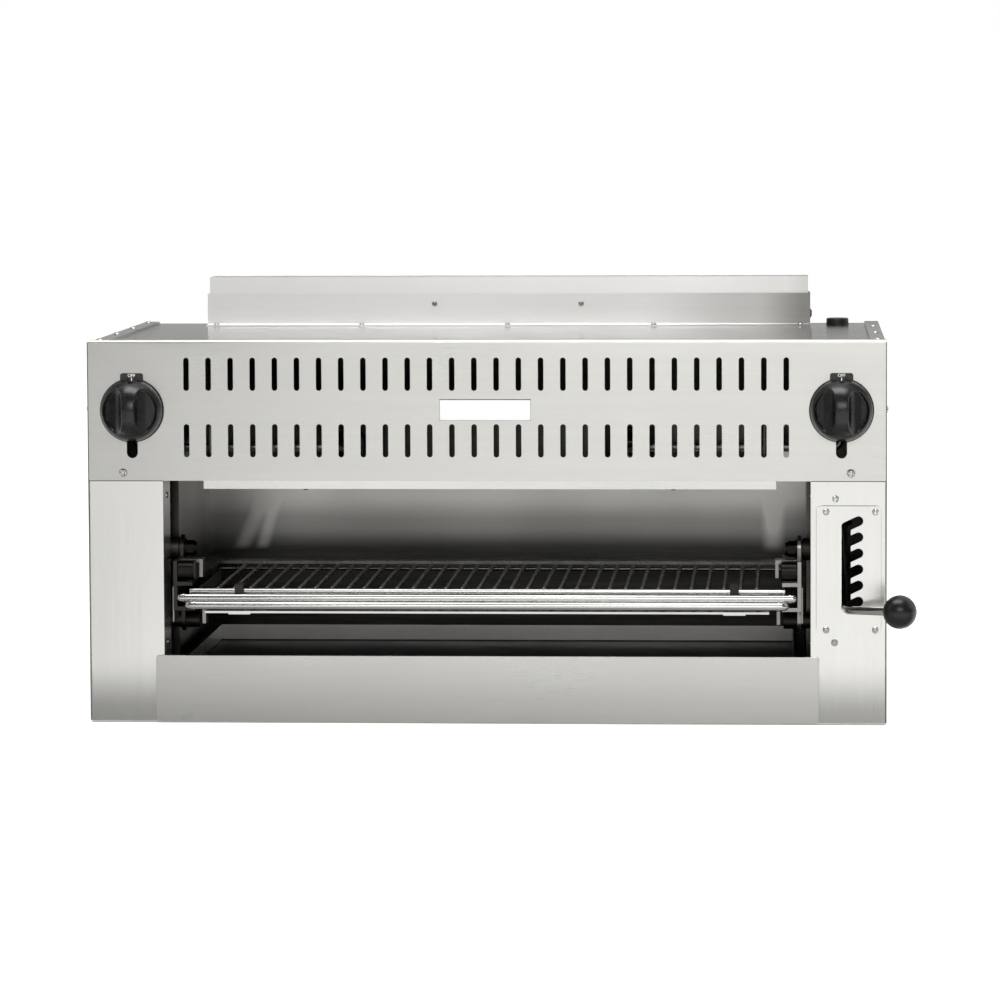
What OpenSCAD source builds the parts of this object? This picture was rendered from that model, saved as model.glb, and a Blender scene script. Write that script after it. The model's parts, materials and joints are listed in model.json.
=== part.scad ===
// Range-mount radiant broiler (large cheese melter) with a spring-balanced grid that a
// notched hand lever sets at six heights.
// Millimetres. Origin: middle of the base. +X is right, +Z is up and the front faces -Y.
// Places are (x, d, z): d is the depth behind the front plane.

/* [Casing] */
// Width over the corner returns
body_w = 914; // [890:2:940]
// Depth from the front plane to the back
body_d = 470; // [460:1:490]
// Height of the fold above the front panel
body_h = 440; // [434:1:450]
// Thickness of the sheet steel
sheet_t = 1.2; // [1:0.1:1.5]
// Outside radius of the sheet bends
bend_r = 3; // [2.5:0.1:4]
// Depth of the returns that wrap the side panels
side_return = 20; // [16:1:24]
// Width of the flanges of the side panels
flange_w = 17; // [14:1:20]
// Drop from the front fold to the top panel
top_drop = 4.4; // [4:0.1:5]
// Depth of the fold above the front panel
fold_depth = 14; // [12:1:16]
// Clearance between pieces that are seated together
seat_gap = 0.3; // [0.2:0.05:0.4]

/* [Front panel] */
// Height of the lower edge of the front panel
front_z = 279; // [276:1:284]
// Louvres in one row
slot_count = 28; // [20:1:28]
// Distance of the first and last louvre from the sides
slot_inset = 114.1; // [108:0.1:130]
// Width of a louvre
slot_w = 6.4; // [5:0.1:8]
// Height of a louvre
slot_h = 38.1; // [30:0.1:42]
// Height of the middle of the lower row above the panel's edge
slot_low = 46; // [44:1:50]
// Rise from the lower row to the upper row
slot_rise = 76.2; // [72:0.1:80]
// Width of the blank badge
badge_w = 105; // [90:1:120]
// Height of the blank badge
badge_h = 24.6; // [20:0.1:26]
// Thickness of the blank badge
badge_t = 1.5; // [1:0.1:2]

/* [Columns] */
// Width of a column
column_w = 86.3; // [84:0.1:90]
// Depth of a column's inner return
column_return = 57; // [50:1:58]

/* [Knobs] */
// Diameter of a knob
knob_dia = 71; // [66:1:74]
// Length of a knob
knob_len = 35; // [32:1:38]
// Width of the finger ridge
ridge_w = 11; // [9:0.5:14]
// Diameter of a valve stem
stem_dia = 8; // [7:0.5:9]
// Distance of a knob from the side
knob_inset = 51.4; // [48:0.1:54]
// Height of the knobs above the front panel's edge
knob_rise = 81; // [78:1:84]
// Diameter of the dial plate behind a knob
dial_dia = 74; // [73:1:80]
// Thickness of the dial plate
dial_t = 1.5; // [1:0.1:2]
// Width of the sight slot below a knob
sight_w = 12.6; // [10:0.1:14]

/* [Lift] */
// Diameter of the lift shaft
shaft_dia = 20; // [18:1:22]
// Distance of the lift shaft from the back
shaft_inset = 50; // [48:1:54]
// Height of the lift shaft
shaft_z = 225; // [222:1:228]
// Depth of the upper front pivots
pivot_d = 75; // [73:1:80]
// Height of the upper front pivots
pivot_z = 194; // [192:1:196]
// Diameter of the upper pivot pins
pivot_dia = 12; // [10:1:14]
// Drop from the upper to the lower pivots
link_drop = 84; // [82:1:86]
// Distance of the lower pivots behind the upper ones
link_shift = 5; // [4:1:7]
// Diameter of the lower pivot pins
link_pin_dia = 10; // [8:1:11]
// Diameter of the lower shaft
link_shaft_dia = 14; // [12:1:16]
// Thickness of the lift arms
arm_t = 6; // [5:0.5:7]
// Width of the lift arms
arm_w = 24; // [20:1:26]
// Width of the lower links
link_w = 18; // [16:1:20]
// Radial clearance of a running fit
run_fit = 0.05; // [0.03:0.01:0.08]
// Radial clearance of the open lower pivots
open_fit = 0.5; // [0.4:0.05:0.8]
// Diameter of a balance spring
spring_dia = 20; // [18:1:22]

/* [Lever] */
// Diameter of the lever rod
lever_dia = 9.5; // [8:0.1:9.8]
// Height at which the resting lever crosses the guide plate
lever_z = 135.5; // [134:0.5:138]
// Depth of the lever's pivot
lever_pivot_d = 330; // [320:1:340]
// Number of heights
notch_count = 6; // [4:1:6]
// Spacing of the notches
notch_pitch = 18.4; // [17:0.1:18.8]
// Slant of the notches, in degrees
notch_slant = 25; // [20:1:30]
// Throw of the lever into a notch
notch_throw = 15.3; // [14:0.1:16]
// Clearance of the lever across a notch
notch_gap = 0.75; // [0.6:0.05:0.9]
// Clearance of the lever in the channel
channel_gap = 0.5; // [0.4:0.05:0.7]
// Diameter of the ball knob
ball_dia = 38; // [34:1:42]
// Reach of the ball in front of the casing
ball_reach = 75; // [70:1:80]

/* [Guide plate] */
// Width of the guide plate
plate_w = 73.5; // [72:0.5:76]
// Height of the guide plate
plate_h = 147; // [142:1:150]
// Thickness of the guide plate
plate_t = 3; // [2.5:0.1:3.5]
// Corner radius of the guide plate
plate_r = 5; // [3:1:8]

/* [Grid] */
// Number of rods
rod_count = 34; // [28:1:35]
// Distance of the outer rods from the side bars
rod_inset = 29.2; // [16:0.1:40]
// Diameter of the rods
rod_dia = 4.8; // [4:0.1:5.2]
// Length of the rods
rod_len = 259; // [240:1:262]
// Diameter of the front cross rod
cross_dia = 6.35; // [5.5:0.05:7]
// Height of the grid's side bars
side_bar_h = 14.4; // [13:0.1:14.8]
// Width of the grid's side bars
side_bar_w = 5; // [4:0.5:6]
// Diameter of the two front bars
bar_dia = 9.5; // [8.5:0.1:9.5]
// Gap between the grid's front strip and a rail
strip_gap = 14.6; // [13:0.1:40]

/* [Carriage] */
// Height of the rails' lower edge
rail_z = 129.3; // [128:0.1:132]
// Height of the rails
rail_h = 33; // [32:0.5:34]
// Length of the rails
rail_len = 313; // [300:1:316]
// Thickness of the rails
rail_t = 4.4; // [4:0.1:4.8]
// Reach of the rails' flanges
rail_reach = 17.5; // [17:0.1:18]
// Diameter of the front spacers
spacer_dia = 22.4; // [20:0.1:23]

/* [Burners] */
// Gap between the burner housing and a side liner
housing_gap = 36; // [33:0.1:42]
// Depth at which the burner housing starts
housing_d = 56; // [54:1:58]
// Drop of the housing's lip below the front panel
lip_drop = 14.2; // [13:0.1:15]
// Height of the burner housing
housing_h = 78.2; // [76:0.2:80]
// Gap between a burner and the housing's side
burner_edge = 10; // [8:0.5:30]
// Gap between a burner and the rear liner
burner_back = 22; // [17:1:42]
// Ceramic tiles along one burner
tile_cols = 5; // [3:1:6]
// Height of a ceramic tile
tile_h = 13; // [12:1:15]
// Diameter of the gas manifold
manifold_dia = 21.3; // [20:0.1:22]
// Diameter of the burner tubes
tube_dia = 9.5; // [8:0.1:10]
// Diameter of the pilot tubes
pilot_dia = 4.8; // [4:0.1:6]
// Diameter of the supply pipe
supply_dia = 26.7; // [24:0.1:27]
// Depth of the inlet thread
inlet_len = 22; // [18:1:22]
// Radius of the inlet thread's bore
inlet_r = 12.05; // [11:0.05:12.5]

/* [Flue] */
// Distance of the flue riser from the sides
riser_inset = 85; // [77:1:97]
// Depth of the flue riser
riser_d = 51; // [48:1:52]
// Height of the flue riser above the top panel
riser_h = 39.4; // [34:0.2:44]
// Height of the flue sleeve above the top panel
sleeve_h = 59.8; // [54:0.2:66]
// Depth of the riser's front flange
riser_flange = 14; // [13:0.5:16]

/* [Drip tray] */
// Lap of the tray's front over a column
tray_lap = 9.3; // [5.3:0.1:12.3]
// Height of the tray's front
tray_front_h = 78; // [74:1:80]
// Corner radius of the tray's front
tray_front_r = 4; // [2:1:8]
// Gap between the tray and a side liner
tray_gap = 14; // [13:0.5:26]
// Height of the tray's walls
tray_wall = 21; // [16:1:24]
// Height of the runners' upper faces
runner_z = 48.7; // [45:0.1:52]

/* [Fixings] */
// Diameter of the dome screw heads
screw_dia = 10; // [9:0.5:11]
// Height of the dome screw heads
screw_h = 3; // [2.5:0.1:3.5]
// Diameter of the screw shanks
shank_dia = 4.8; // [4:0.1:5.5]
// Distance of the wall bolts from the sides
mount_inset = 77; // [67:1:87]
// Height of the lower wall bolts
mount_z = 60; // [55:1:70]
// Rise from the lower to the upper wall bolts
mount_rise = 270; // [250:1:280]
// Diameter of the wall bolt holes
mount_dia = 8.8; // [7:0.1:10]

/* [Hidden] */
$fn = 48;

// Casing
half_w = body_w / 2;
side_x = half_w - sheet_t;
back_d = body_d - sheet_t;
panel_z = body_h - top_drop;
hem_t = 2 * sheet_t;
flange_d = fold_depth + 4;
wall_x = side_x - sheet_t;

// Columns and liners
column_x = half_w - column_w;
column_top = front_z - 0.2;
column_mid = half_w - column_w / 2;
liner_gap = 3.5;
liner_x = column_x - liner_gap;
liner_in = liner_x - sheet_t;
liner_d = column_return + 40;
rear_inset = 98;
rear_d = body_d - rear_inset;
cavity_top = 292;
liner_lip = 8;

// Burner housing
lip_z = front_z - lip_drop;
ceiling_z = lip_z + housing_h;
housing_x = liner_x - housing_gap;
window_w = 90;
window_z = [292, 338];
burner_gap = 20;
burner_w = housing_x - sheet_t - burner_edge - burner_gap / 2;
burner_x = [burner_gap / 2, burner_gap / 2 + burner_w];
burner_x_mid = burner_gap / 2 + burner_w / 2;
burner_front = housing_d + 44;
burner_d = rear_d - burner_back - burner_front;
burner_z = [lip_z + 21.2, ceiling_z - 8];
burner_t = 1.5;
burner_lip = 6;
venturi_z = ceiling_z - 28;
venturi_dia = 38;
venturi_len = 30;
tile_gap = 1;
tile_rows = 2;
screen_h = 5;
screen_edge = 12;
screen_rods = 9;

// Knobs, valves and gas train
knob_x = half_w - knob_inset;
knob_z = front_z + knob_rise;
knob_gap = 0.5;
dial_tab_w = 26.5;
dial_tab_top = 42.5;
valve_dia = 30;
valve_d = [12, 50];
valve_neck = 8;
stem_reach = 12;
stem_depth = 24;
valve_out_d = 32;
valve_out_dia = 14;
valve_out_z = knob_z - 25;
tube_bend = 12;
orifice_d = [46, 66];
orifice_dia = 14;
manifold_d = 62;
manifold_x = knob_x + 18.4;
boss_dia = 20;
pilot_d = 20;
pilot_rise = 8;
pilot_x = housing_x - 13.2;
pilot_z = lip_z + 16.2;
pilot_len = 40;
pilot_burner_dia = 6;
pilot_end_d = housing_d - 6;
supply_d = [manifold_d + 16, body_d - 44];
tee_dia = 34;
inlet_d = body_d - 18.5;
nipple_dia = 21.3;
nipple_hole = 30;
cap_dia = 27.4;
cap_h = 8.6;
nipple_z = panel_z - 1.6;

// Lift geometry: the arms and links keep the grid level
shaft_d = body_d - shaft_inset;
link_d = pivot_d + link_shift;
link_z = pivot_z - link_drop;
link_shaft_d = shaft_d + link_shift;
link_shaft_z = shaft_z - link_drop;
arm_x = column_x + 21.3;
arm_out = arm_x + arm_t;
shaft_end = half_w - 11;
bearing_x = shaft_end - 8;
bearing_wall = 10;
hub_dia = 36;
boss_big = 26;
spring_x = arm_x - 12.5;
spring_d = shaft_d - 35;
spring_wire = 3;
spring_bore = 14;
stud_dia = 6;
stud_z = shaft_z + (shaft_d - spring_d) / (shaft_d - pivot_d) * (pivot_z - shaft_z);
spring_hook = [stud_z + stud_dia / 2 + seat_gap, panel_z - 35.6];
spring_z = [spring_hook[0] + 19.8, spring_hook[1] - 15];

// Lever geometry: a line from the shaft through the guide plate
lever_x = column_mid - 2.95;
cross_d = -plate_t / 2;
lever_fall = atan((shaft_z - lever_z) / (shaft_d - cross_d));
lever_pivot_z = shaft_z - (shaft_d - lever_pivot_d) * tan(lever_fall);
lift_top_z = lever_z + (notch_count - 1) * notch_pitch;
plate_x = column_mid;
plate_z = lever_z - 31.5;
channel_w = lever_dia + 2 * channel_gap;
notch_w = lever_dia + 2 * notch_gap;
eye_dia = 16;
eye_h = 11;
eye_pin = 6;
cheek_t = 4;
ball_x = half_w + 13;
ball_z = lever_z + 3;
bend_d = -12;

// The ball's place in the lever's own frame, whose -Y axis follows the rod
ball_v = [ball_x - lever_x, -ball_reach - lever_pivot_d, ball_z - lever_pivot_z];
ball_y = ball_v[1] * cos(lever_fall) + ball_v[2] * sin(lever_fall);
ball_up = ball_v[2] * cos(lever_fall) - ball_v[1] * sin(lever_fall);
ball_a = ball_v[0] * cos(notch_slant) + ball_up * sin(notch_slant);
ball_b = ball_up * cos(notch_slant) - ball_v[0] * sin(notch_slant);
ball_off = norm([ball_a, ball_b]);
bend_twist = -atan2(ball_b, ball_a);
rod_run = (lever_pivot_d - bend_d) / cos(lever_fall);
bend_turn = atan2(ball_off, -ball_y - rod_run);
ball_grip = ball_dia / 2 - 6;
rod_tail = norm([ball_off, -ball_y - rod_run]) - ball_grip;

// Carriage and grid
rail_gap = 6;
rail_out = liner_in - rail_gap;
rail_x = rail_out - rail_t;
rail_in = rail_out - rail_reach - rail_t;
rail_d = [2, 2 + rail_len];
rail_top = rail_z + rail_h;
ear_r = 16;
lobe_r = 13;
spacer_d = 14;
spacer_z = rail_top + 0.7 + spacer_dia / 2;
spacer_x = rail_in - 1;
nut_dia = 18.6;
washer_t = 1.6;
nut_x = rail_x - seat_gap - washer_t - 9;
side_bar_x = [rail_in + 0.5, rail_in + 0.5 + side_bar_w];
side_bar_z = rail_z + rail_t + seat_gap;
side_bar_top = side_bar_z + side_bar_h;
grid_d = 5;
cross_z = side_bar_top + cross_dia / 2;
rod_z0 = side_bar_top + 5.1;
rear_cross_z = side_bar_top + rod_dia / 2;
bar_d = -6;
bar_z = side_bar_top - 3.4;
bar_end = rail_out - 10;
handle_d = -11.1;
handle_z = bar_z - 8.3;
strip_x = rail_in - strip_gap;
clip_x = strip_x - 39.7;
clip_w = 10;
clip_t = 2;
strip_t = 3;
strip_d = [bar_d + 3.6, 22];
strip_z = rail_z + 0.3;
clip_top = rod_z0 + 6.5;
tab_x = [strip_x - 52.5, strip_x - 27];
tab_drop = 1.4;

// Drip tray
tray_front_d = -4;
tray_edge = -0.4;
tray_x = liner_in - tray_gap;
tray_front_x = column_x + tray_lap;
tray_z = runner_z + seat_gap;
tray_end = rear_d - 6;
runner_w = 26;
runner_leg = 12;

// Flue
riser_back = body_d - 3;
riser_front = riser_back - riser_d;
riser_x = half_w - riser_inset;
sleeve_gap = 1.3;
sleeve_x = riser_x - sheet_t - sleeve_gap;
sleeve_d = [riser_front + sheet_t + sleeve_gap, riser_back - sheet_t - sleeve_gap];

// Screw places
flange_screw_x = half_w - 9;
left_flange_d = [40, 170, 300, 430];
right_flange_d = [45, 190, 335];
edge_screw_d = 40;
edge_screw_inset = 45;
edge_screw_pitch = (body_w - 2 * edge_screw_inset) / 5;
riser_screw_pitch = (riser_x - 12) / 2;
riser_face_x = 90.5;
riser_face_z = panel_z + 26.5;
riser_bolt_z = panel_z + 13.4;
front_screw_x = half_w - 40.7;
front_screw_z = front_z + 9.2;
side_screw_d = 10;
lip_screw_x = housing_x - 118.2;
mount_x = half_w - mount_inset;
lip_screw_dia = 7;
plate_screw_in = [11, 6.5];
plate_screws = [for (sx = [-1, 1], sz = [0, 1])
    [plate_x + sx * (plate_w / 2 - (sx < 0 ? plate_screw_in[0] : plate_screw_in[1])),
     plate_z + (sz == 0 ? 5.5 : plate_h - 6.5)]];
column_screws = [[plate_x - 16, plate_z - 9.5], [plate_x - 15, plate_z + plate_h + 8]];
return_screws = [90, 260];
return_screw_d = 30;
screw_fit = 0.1;
screw_len = 7;

steel = "#c9c8c4";
bright = "#dedede";
dark_steel = "#8a8986";
black = "#1c1c1c";
brass = "#c8a24a";
ceramic = "#e9e2d2";

// ---- Helpers -------------------------------------------------------------

module at(x, d, z) {
    translate([x, d - body_d / 2, z]) children();
}

// A block between two corners
module block(x, d, z) {
    at(x[0], d[0], z[0]) cube([x[1] - x[0], d[1] - d[0], z[1] - z[0]]);
}

module rod_x(x, d, z, dia) {
    at(x[0], d, z) rotate([0, 90, 0]) cylinder(h = x[1] - x[0], d = dia);
}

module rod_y(x, d, z, dia) {
    at(x, d[0], z) rotate([-90, 0, 0]) cylinder(h = d[1] - d[0], d = dia);
}

module rod_z(x, d, z, dia) {
    at(x, d, z[0]) cylinder(h = z[1] - z[0], d = dia);
}

// A (depth, height) outline drawn along x
module along_x(x) {
    at(x[0], 0, 0) rotate([90, 0, 90]) linear_extrude(x[1] - x[0]) children();
}

// An (x, height) outline drawn along the depth
module along_y(d) {
    at(0, d[1], 0) rotate([90, 0, 0]) linear_extrude(d[1] - d[0]) children();
}

// An (x, depth) outline drawn upwards
module along_z(z) {
    at(0, 0, z[0]) linear_extrude(z[1] - z[0]) children();
}

module on_side(side) {
    if (side < 0) mirror([1, 0, 0]) children();
    else children();
}

module both_sides() {
    for (side = [-1, 1]) on_side(side) children();
}

// A rectangle with rounded corners, from its lower left corner
module rounded_2d(w, h, r) {
    translate([r, 0]) square([w - 2 * r, h]);
    translate([0, r]) square([w, h - 2 * r]);
    for (x = [r, w - r], y = [r, h - r]) translate([x, y]) circle(r);
}

// A slot with round ends between two points
module slot_2d(a, b, w) {
    v = b - a;
    translate(a) circle(d = w);
    translate(b) circle(d = w);
    translate(a) rotate(atan2(v[1], v[0])) translate([0, -w / 2]) square([norm(v), w]);
}

// A quarter of a bent sheet: the bend's centre is the origin, the sheet lies up and right
module bend_2d() {
    intersection() {
        difference() {
            circle(bend_r);
            circle(bend_r - sheet_t);
        }
        square(bend_r);
    }
}

// A quarter turn of round bar from (r, 0) to (0, r) about the origin
module elbow(r, dia) {
    rotate_extrude(angle = 90) translate([r, 0]) circle(d = dia);
}

// A screw with a domed head: the head sits above z = 0 and the shank below it
module dome_screw(dia = screw_dia, h = screw_h, len = screw_len) {
    r = (h * h + dia * dia / 4) / (2 * h);
    rotate_extrude() intersection() {
        translate([0, h - r]) circle(r);
        square([dia / 2, h]);
    }
    translate([0, 0, -len]) cylinder(h = len, d = shank_dia);
}

module face_up(x, d, z) {
    at(x, d, z) children();
}

module face_front(x, d, z) {
    at(x, d, z) rotate([90, 0, 0]) children();
}

module face_right(x, d, z) {
    at(x, d, z) rotate([0, 90, 0]) children();
}

// A hole for a screw's shank
module shank_hole() {
    translate([0, 0, -screw_len - 1]) cylinder(h = screw_len + 2, d = shank_dia + 2 * screw_fit);
}

// ---- Casing --------------------------------------------------------------

module side_screw_place() {
    face_right(half_w, side_screw_d, knob_z) children();
}

module side_panel() {
    color(steel) difference() {
        union() {
            block([wall_x, side_x], [bend_r, back_d], [sheet_t, panel_z]);
            block([side_x - flange_w, side_x], [flange_d, back_d], [panel_z, panel_z + hem_t]);
            block([side_x - flange_w, wall_x], [bend_r, back_d], [sheet_t, 2 * sheet_t]);
            block([side_x - flange_w, wall_x], [back_d - sheet_t, back_d], [sheet_t, panel_z - hem_t]);
        }
        side_screw_place() shank_hole();
        children();
    }
}

module left_side_panel() {
    mirror([1, 0, 0]) side_panel() flange_screw_places(left_flange_d) shank_hole();
}

module right_side_panel() {
    side_panel() flange_screw_places(right_flange_d) shank_hole();
}

module back_panel() {
    color(steel) difference() {
        block([-side_x, side_x], [back_d, body_d], [0, panel_z]);
        both_sides() for (z = [mount_z, mount_z + mount_rise])
            rod_y(mount_x, [back_d - 1, body_d + 1], z, mount_dia);
        rod_y(knob_x, [back_d - 1, body_d + 1], knob_z, tee_dia + 2);
    }
}

module bottom_panel() {
    color(steel) block([-side_x, side_x], [0, back_d], [0, sheet_t]);
}

module flange_screw_places(depths) {
    for (d = depths) face_up(flange_screw_x, d, panel_z + hem_t) children();
}

module edge_screw_places() {
    for (i = [-2.5:2.5]) face_up(i * edge_screw_pitch, edge_screw_d, panel_z) children();
}

module riser_screw_places() {
    for (i = [-2:2])
        face_up(i * riser_screw_pitch, riser_front - riser_flange / 2, panel_z + sheet_t) children();
}

module top_screw_holes() {
    mirror([1, 0, 0]) flange_screw_places(left_flange_d) shank_hole();
    flange_screw_places(right_flange_d) shank_hole();
    edge_screw_places() shank_hole();
    riser_screw_places() shank_hole();
}

module top_panel() {
    edge = wall_x - seat_gap;
    color(steel) difference() {
        block([-edge, edge], [hem_t, back_d], [panel_z - sheet_t, panel_z]);
        block([-sleeve_x + 2, sleeve_x - 2], [sleeve_d[0] + 2, sleeve_d[1] - 2], [panel_z - 5, panel_z + 1]);
        rod_z(knob_x, inlet_d, [panel_z - 5, panel_z + 1], nipple_hole);
        top_screw_holes();
    }
}

// ---- Front panel ---------------------------------------------------------

// Section of the front panel: face and top fold
module front_section() {
    translate([0, front_z]) square([sheet_t, body_h - bend_r - front_z]);
    translate([bend_r, body_h - bend_r]) mirror([1, 0]) bend_2d();
    translate([bend_r, body_h - sheet_t]) square([fold_depth - bend_r, sheet_t]);
    translate([fold_depth - sheet_t, panel_z]) square([sheet_t, top_drop]);
}

module slot_rows() {
    slot_pitch = (body_w - 2 * slot_inset) / (slot_count - 1);
    for (z = [front_z + slot_low, front_z + slot_low + slot_rise], i = [0:slot_count - 1]) {
        x = (i - (slot_count - 1) / 2) * slot_pitch;
        reach = (slot_h - slot_w) / 2;
        slot_2d([x, z - reach], [x, z + reach], slot_w);
    }
}

module sight_slot() {
    slot_2d([knob_x, front_z + 26 + sight_w / 2], [knob_x, knob_z], sight_w);
    translate([knob_x, knob_z]) circle(d = valve_neck + 12);
}

module louver_panel() {
    hem_x = wall_x - seat_gap;
    color(steel) difference() {
        union() {
            along_x([-half_w, half_w]) front_section();
            block([-hem_x, hem_x], [0, 4 * bend_r], [front_z, front_z + sheet_t]);
            both_sides() block([side_x, half_w], [0, side_return], [front_z, body_h - bend_r]);
        }
        along_y([-1, sheet_t + 1]) {
            slot_rows();
            both_sides() sight_slot();
        }
        both_sides() {
            face_front(front_screw_x, 0, front_screw_z) shank_hole();
            side_screw_place() shank_hole();
        }
    }
}

module name_badge() {
    z = knob_z + 0.7 - badge_h / 2;
    color(bright) along_y([-badge_t, 0]) translate([-badge_w / 2, z]) rounded_2d(badge_w, badge_h, 2);
}

module dial_plates() {
    color(black) both_sides() difference() {
        along_y([-dial_t, 0]) {
            translate([knob_x, knob_z]) circle(d = dial_dia);
            translate([knob_x - dial_tab_w / 2, knob_z]) rounded_2d(dial_tab_w, dial_tab_top, 3);
        }
        rod_y(knob_x, [-5, 5], knob_z, stem_dia + 2.5);
        along_y([-5, 5]) slot_2d([knob_x, front_z + 10], [knob_x, knob_z - 20], sight_w);
    }
}

// ---- Columns and guide plate ---------------------------------------------

// Plan of a column: face, wrapped outer return and deep inner return
module column_plan() {
    translate([column_x, 0]) square([half_w - bend_r - column_x, sheet_t]);
    translate([half_w - bend_r, bend_r]) mirror([0, 1]) bend_2d();
    translate([side_x, bend_r]) square([sheet_t, side_return - bend_r]);
    translate([column_x, 0]) square([sheet_t, column_return]);
}

module return_screw_places() {
    for (z = return_screws) at(column_x, return_screw_d, z) rotate([0, -90, 0]) children();
}

module column() {
    color(steel) difference() {
        along_z([sheet_t, column_top]) column_plan();
        return_screw_places() shank_hole();
        children();
    }
}

module column_window() {
    x = [lever_x - 11, lever_x + 21];
    z = [lever_z - 11.5, lift_top_z + 15.5];
    block(x, [-1, sheet_t + 1], z);
}

module plate_screw_places() {
    for (p = plate_screws) face_front(p[0], -plate_t, p[1]) children();
    for (p = column_screws) face_front(p[0], 0, p[1]) children();
}

module left_column() {
    mirror([1, 0, 0]) column();
}

module right_column() {
    column() {
        column_window();
        plate_screw_places() shank_hole();
    }
}

// The notch at one height: the lever leaves the channel up and to the right
module notch_2d(z) {
    tilt = atan((shaft_z - z) / (shaft_d - cross_d));
    rise = notch_throw * sin(notch_slant) / cos(tilt);
    slot_2d([lever_x, z], [lever_x + notch_throw * cos(notch_slant), z + rise], notch_w);
}

module lever_guide_plate() {
    color(steel) difference() {
        along_y([-plate_t, 0]) difference() {
            translate([plate_x - plate_w / 2, plate_z]) rounded_2d(plate_w, plate_h, plate_r);
            slot_2d([lever_x, lever_z - 0.4], [lever_x, lift_top_z], channel_w);
            for (i = [0:notch_count - 1]) notch_2d(lever_z + i * notch_pitch);
        }
        plate_screw_places() shank_hole();
    }
}

// ---- Cavity ---------------------------------------------------------------

module side_liners() {
    color(dark_steel) both_sides() {
        block([liner_in, liner_x], [liner_d, rear_d], [sheet_t, ceiling_z]);
        block([liner_x, liner_x + liner_lip], [liner_d, liner_d + sheet_t], [sheet_t, ceiling_z]);
    }
}

module rear_liner() {
    color(dark_steel) block([-liner_x, liner_x], [rear_d, rear_d + sheet_t], [sheet_t, cavity_top]);
}

module heat_shield() {
    color(dark_steel) {
        block([-liner_x, liner_x], [housing_d, rear_d + sheet_t], [ceiling_z, ceiling_z + sheet_t]);
        block([-liner_x, liner_x], [rear_d, rear_d + sheet_t], [ceiling_z, panel_z - sheet_t]);
    }
}

module lip_screw_places() {
    both_sides() at(lip_screw_x, housing_d + 8, lip_z) mirror([0, 0, 1]) children();
}

module burner_housing() {
    wall = [housing_x - sheet_t, housing_x];
    lip_depth = 16;
    color(steel) difference() {
        union() {
            both_sides() block(wall, [housing_d, rear_d], [lip_z, ceiling_z]);
            block([-housing_x, housing_x], [housing_d, housing_d + sheet_t], [lip_z, ceiling_z]);
            block([-housing_x, housing_x], [housing_d, housing_d + lip_depth], [lip_z, lip_z + sheet_t]);
        }
        both_sides() {
            block([burner_x_mid - window_w / 2, burner_x_mid + window_w / 2],
                  [housing_d - 1, housing_d + 5], window_z);
            rod_y(pilot_x, [housing_d - 1, housing_d + 5], pilot_z, pilot_burner_dia + 2 * screw_fit);
        }
        lip_screw_places() shank_hole();
    }
}

// ---- Burners ----------------------------------------------------------------

module burner() {
    d = [burner_front, burner_front + burner_d];
    t = burner_t;
    hanger = 30;
    color(dark_steel) {
        difference() {
            union() {
                block(burner_x, d, burner_z);
                rod_y(burner_x_mid, [burner_front - venturi_len, burner_front + t], venturi_z, venturi_dia);
            }
            block([burner_x[0] + t, burner_x[1] - t], [d[0] + t, d[1] - t],
                  [burner_z[0] + t, burner_z[1] - t]);
            block([burner_x[0] + burner_lip, burner_x[1] - burner_lip],
                  [d[0] + burner_lip, d[1] - burner_lip], [burner_z[0] - 1, burner_z[0] + 2 * t]);
            rod_y(burner_x_mid, [burner_front - venturi_len - 1, burner_front + 2 * t],
                  venturi_z, venturi_dia - 2 * t);
        }
        for (x = [burner_x[0] + 20, burner_x[1] - 20 - hanger])
            block([x, x + hanger], [d[0] + 20, d[1] - 20], [burner_z[1], ceiling_z]);
    }
}

module left_burner() {
    mirror([1, 0, 0]) burner();
}

module right_burner() {
    burner();
}

module ceramic_tiles() {
    gap = tile_gap;
    w = (burner_w - 2 * burner_t - gap) / tile_cols;
    l = (burner_d - 2 * burner_t - gap) / tile_rows;
    x0 = burner_x[0] + burner_t + gap;
    d0 = burner_front + burner_t + gap;
    z = [burner_z[0] + burner_t, burner_z[0] + burner_t + tile_h];
    color(ceramic) both_sides() for (i = [0:tile_cols - 1], j = [0:tile_rows - 1])
        block([x0 + i * w, x0 + (i + 1) * w - gap], [d0 + j * l, d0 + (j + 1) * l - gap], z);
}

module burner_screens() {
    x = [burner_x[0] + 2, burner_x[1] - 12];
    d = [burner_front, burner_front + burner_d];
    z = [burner_z[0] - screen_h, burner_z[0]];
    pitch = (d[1] - d[0] - 2 * screen_edge) / (screen_rods + 1);
    color(dark_steel) both_sides() {
        difference() {
            block(x, d, z);
            block([x[0] + screen_edge, x[1] - screen_edge], [d[0] + screen_edge, d[1] - screen_edge],
                  [z[0] - 1, z[1] + 1]);
        }
        for (i = [1:screen_rods])
            rod_x([x[0] + screen_edge - 1, x[1] - screen_edge + 1], d[0] + screen_edge + i * pitch,
                  z[0] + screen_h / 2, 2.4);
    }
}

// ---- Gas train -----------------------------------------------------------

module orifice_fittings() {
    color(brass) both_sides() {
        at(burner_x_mid, orifice_d[0], venturi_z) rotate([-90, 0, 0]) cylinder(h = 10, d = orifice_dia, $fn = 6);
        rod_y(burner_x_mid, [orifice_d[0] + 10, orifice_d[1]], venturi_z, 9);
    }
}

module gas_manifold() {
    color(dark_steel) difference() {
        union() {
            rod_x([-manifold_x, manifold_x], manifold_d, knob_z, manifold_dia);
            both_sides() rod_y(knob_x, [valve_d[1], manifold_d], knob_z, boss_dia);
            rod_y(knob_x, [manifold_d, supply_d[0]], knob_z, boss_dia + 10);
        }
        rod_x([-manifold_x + 5, manifold_x - 5], manifold_d, knob_z, manifold_dia - 5.5);
    }
}

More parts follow.
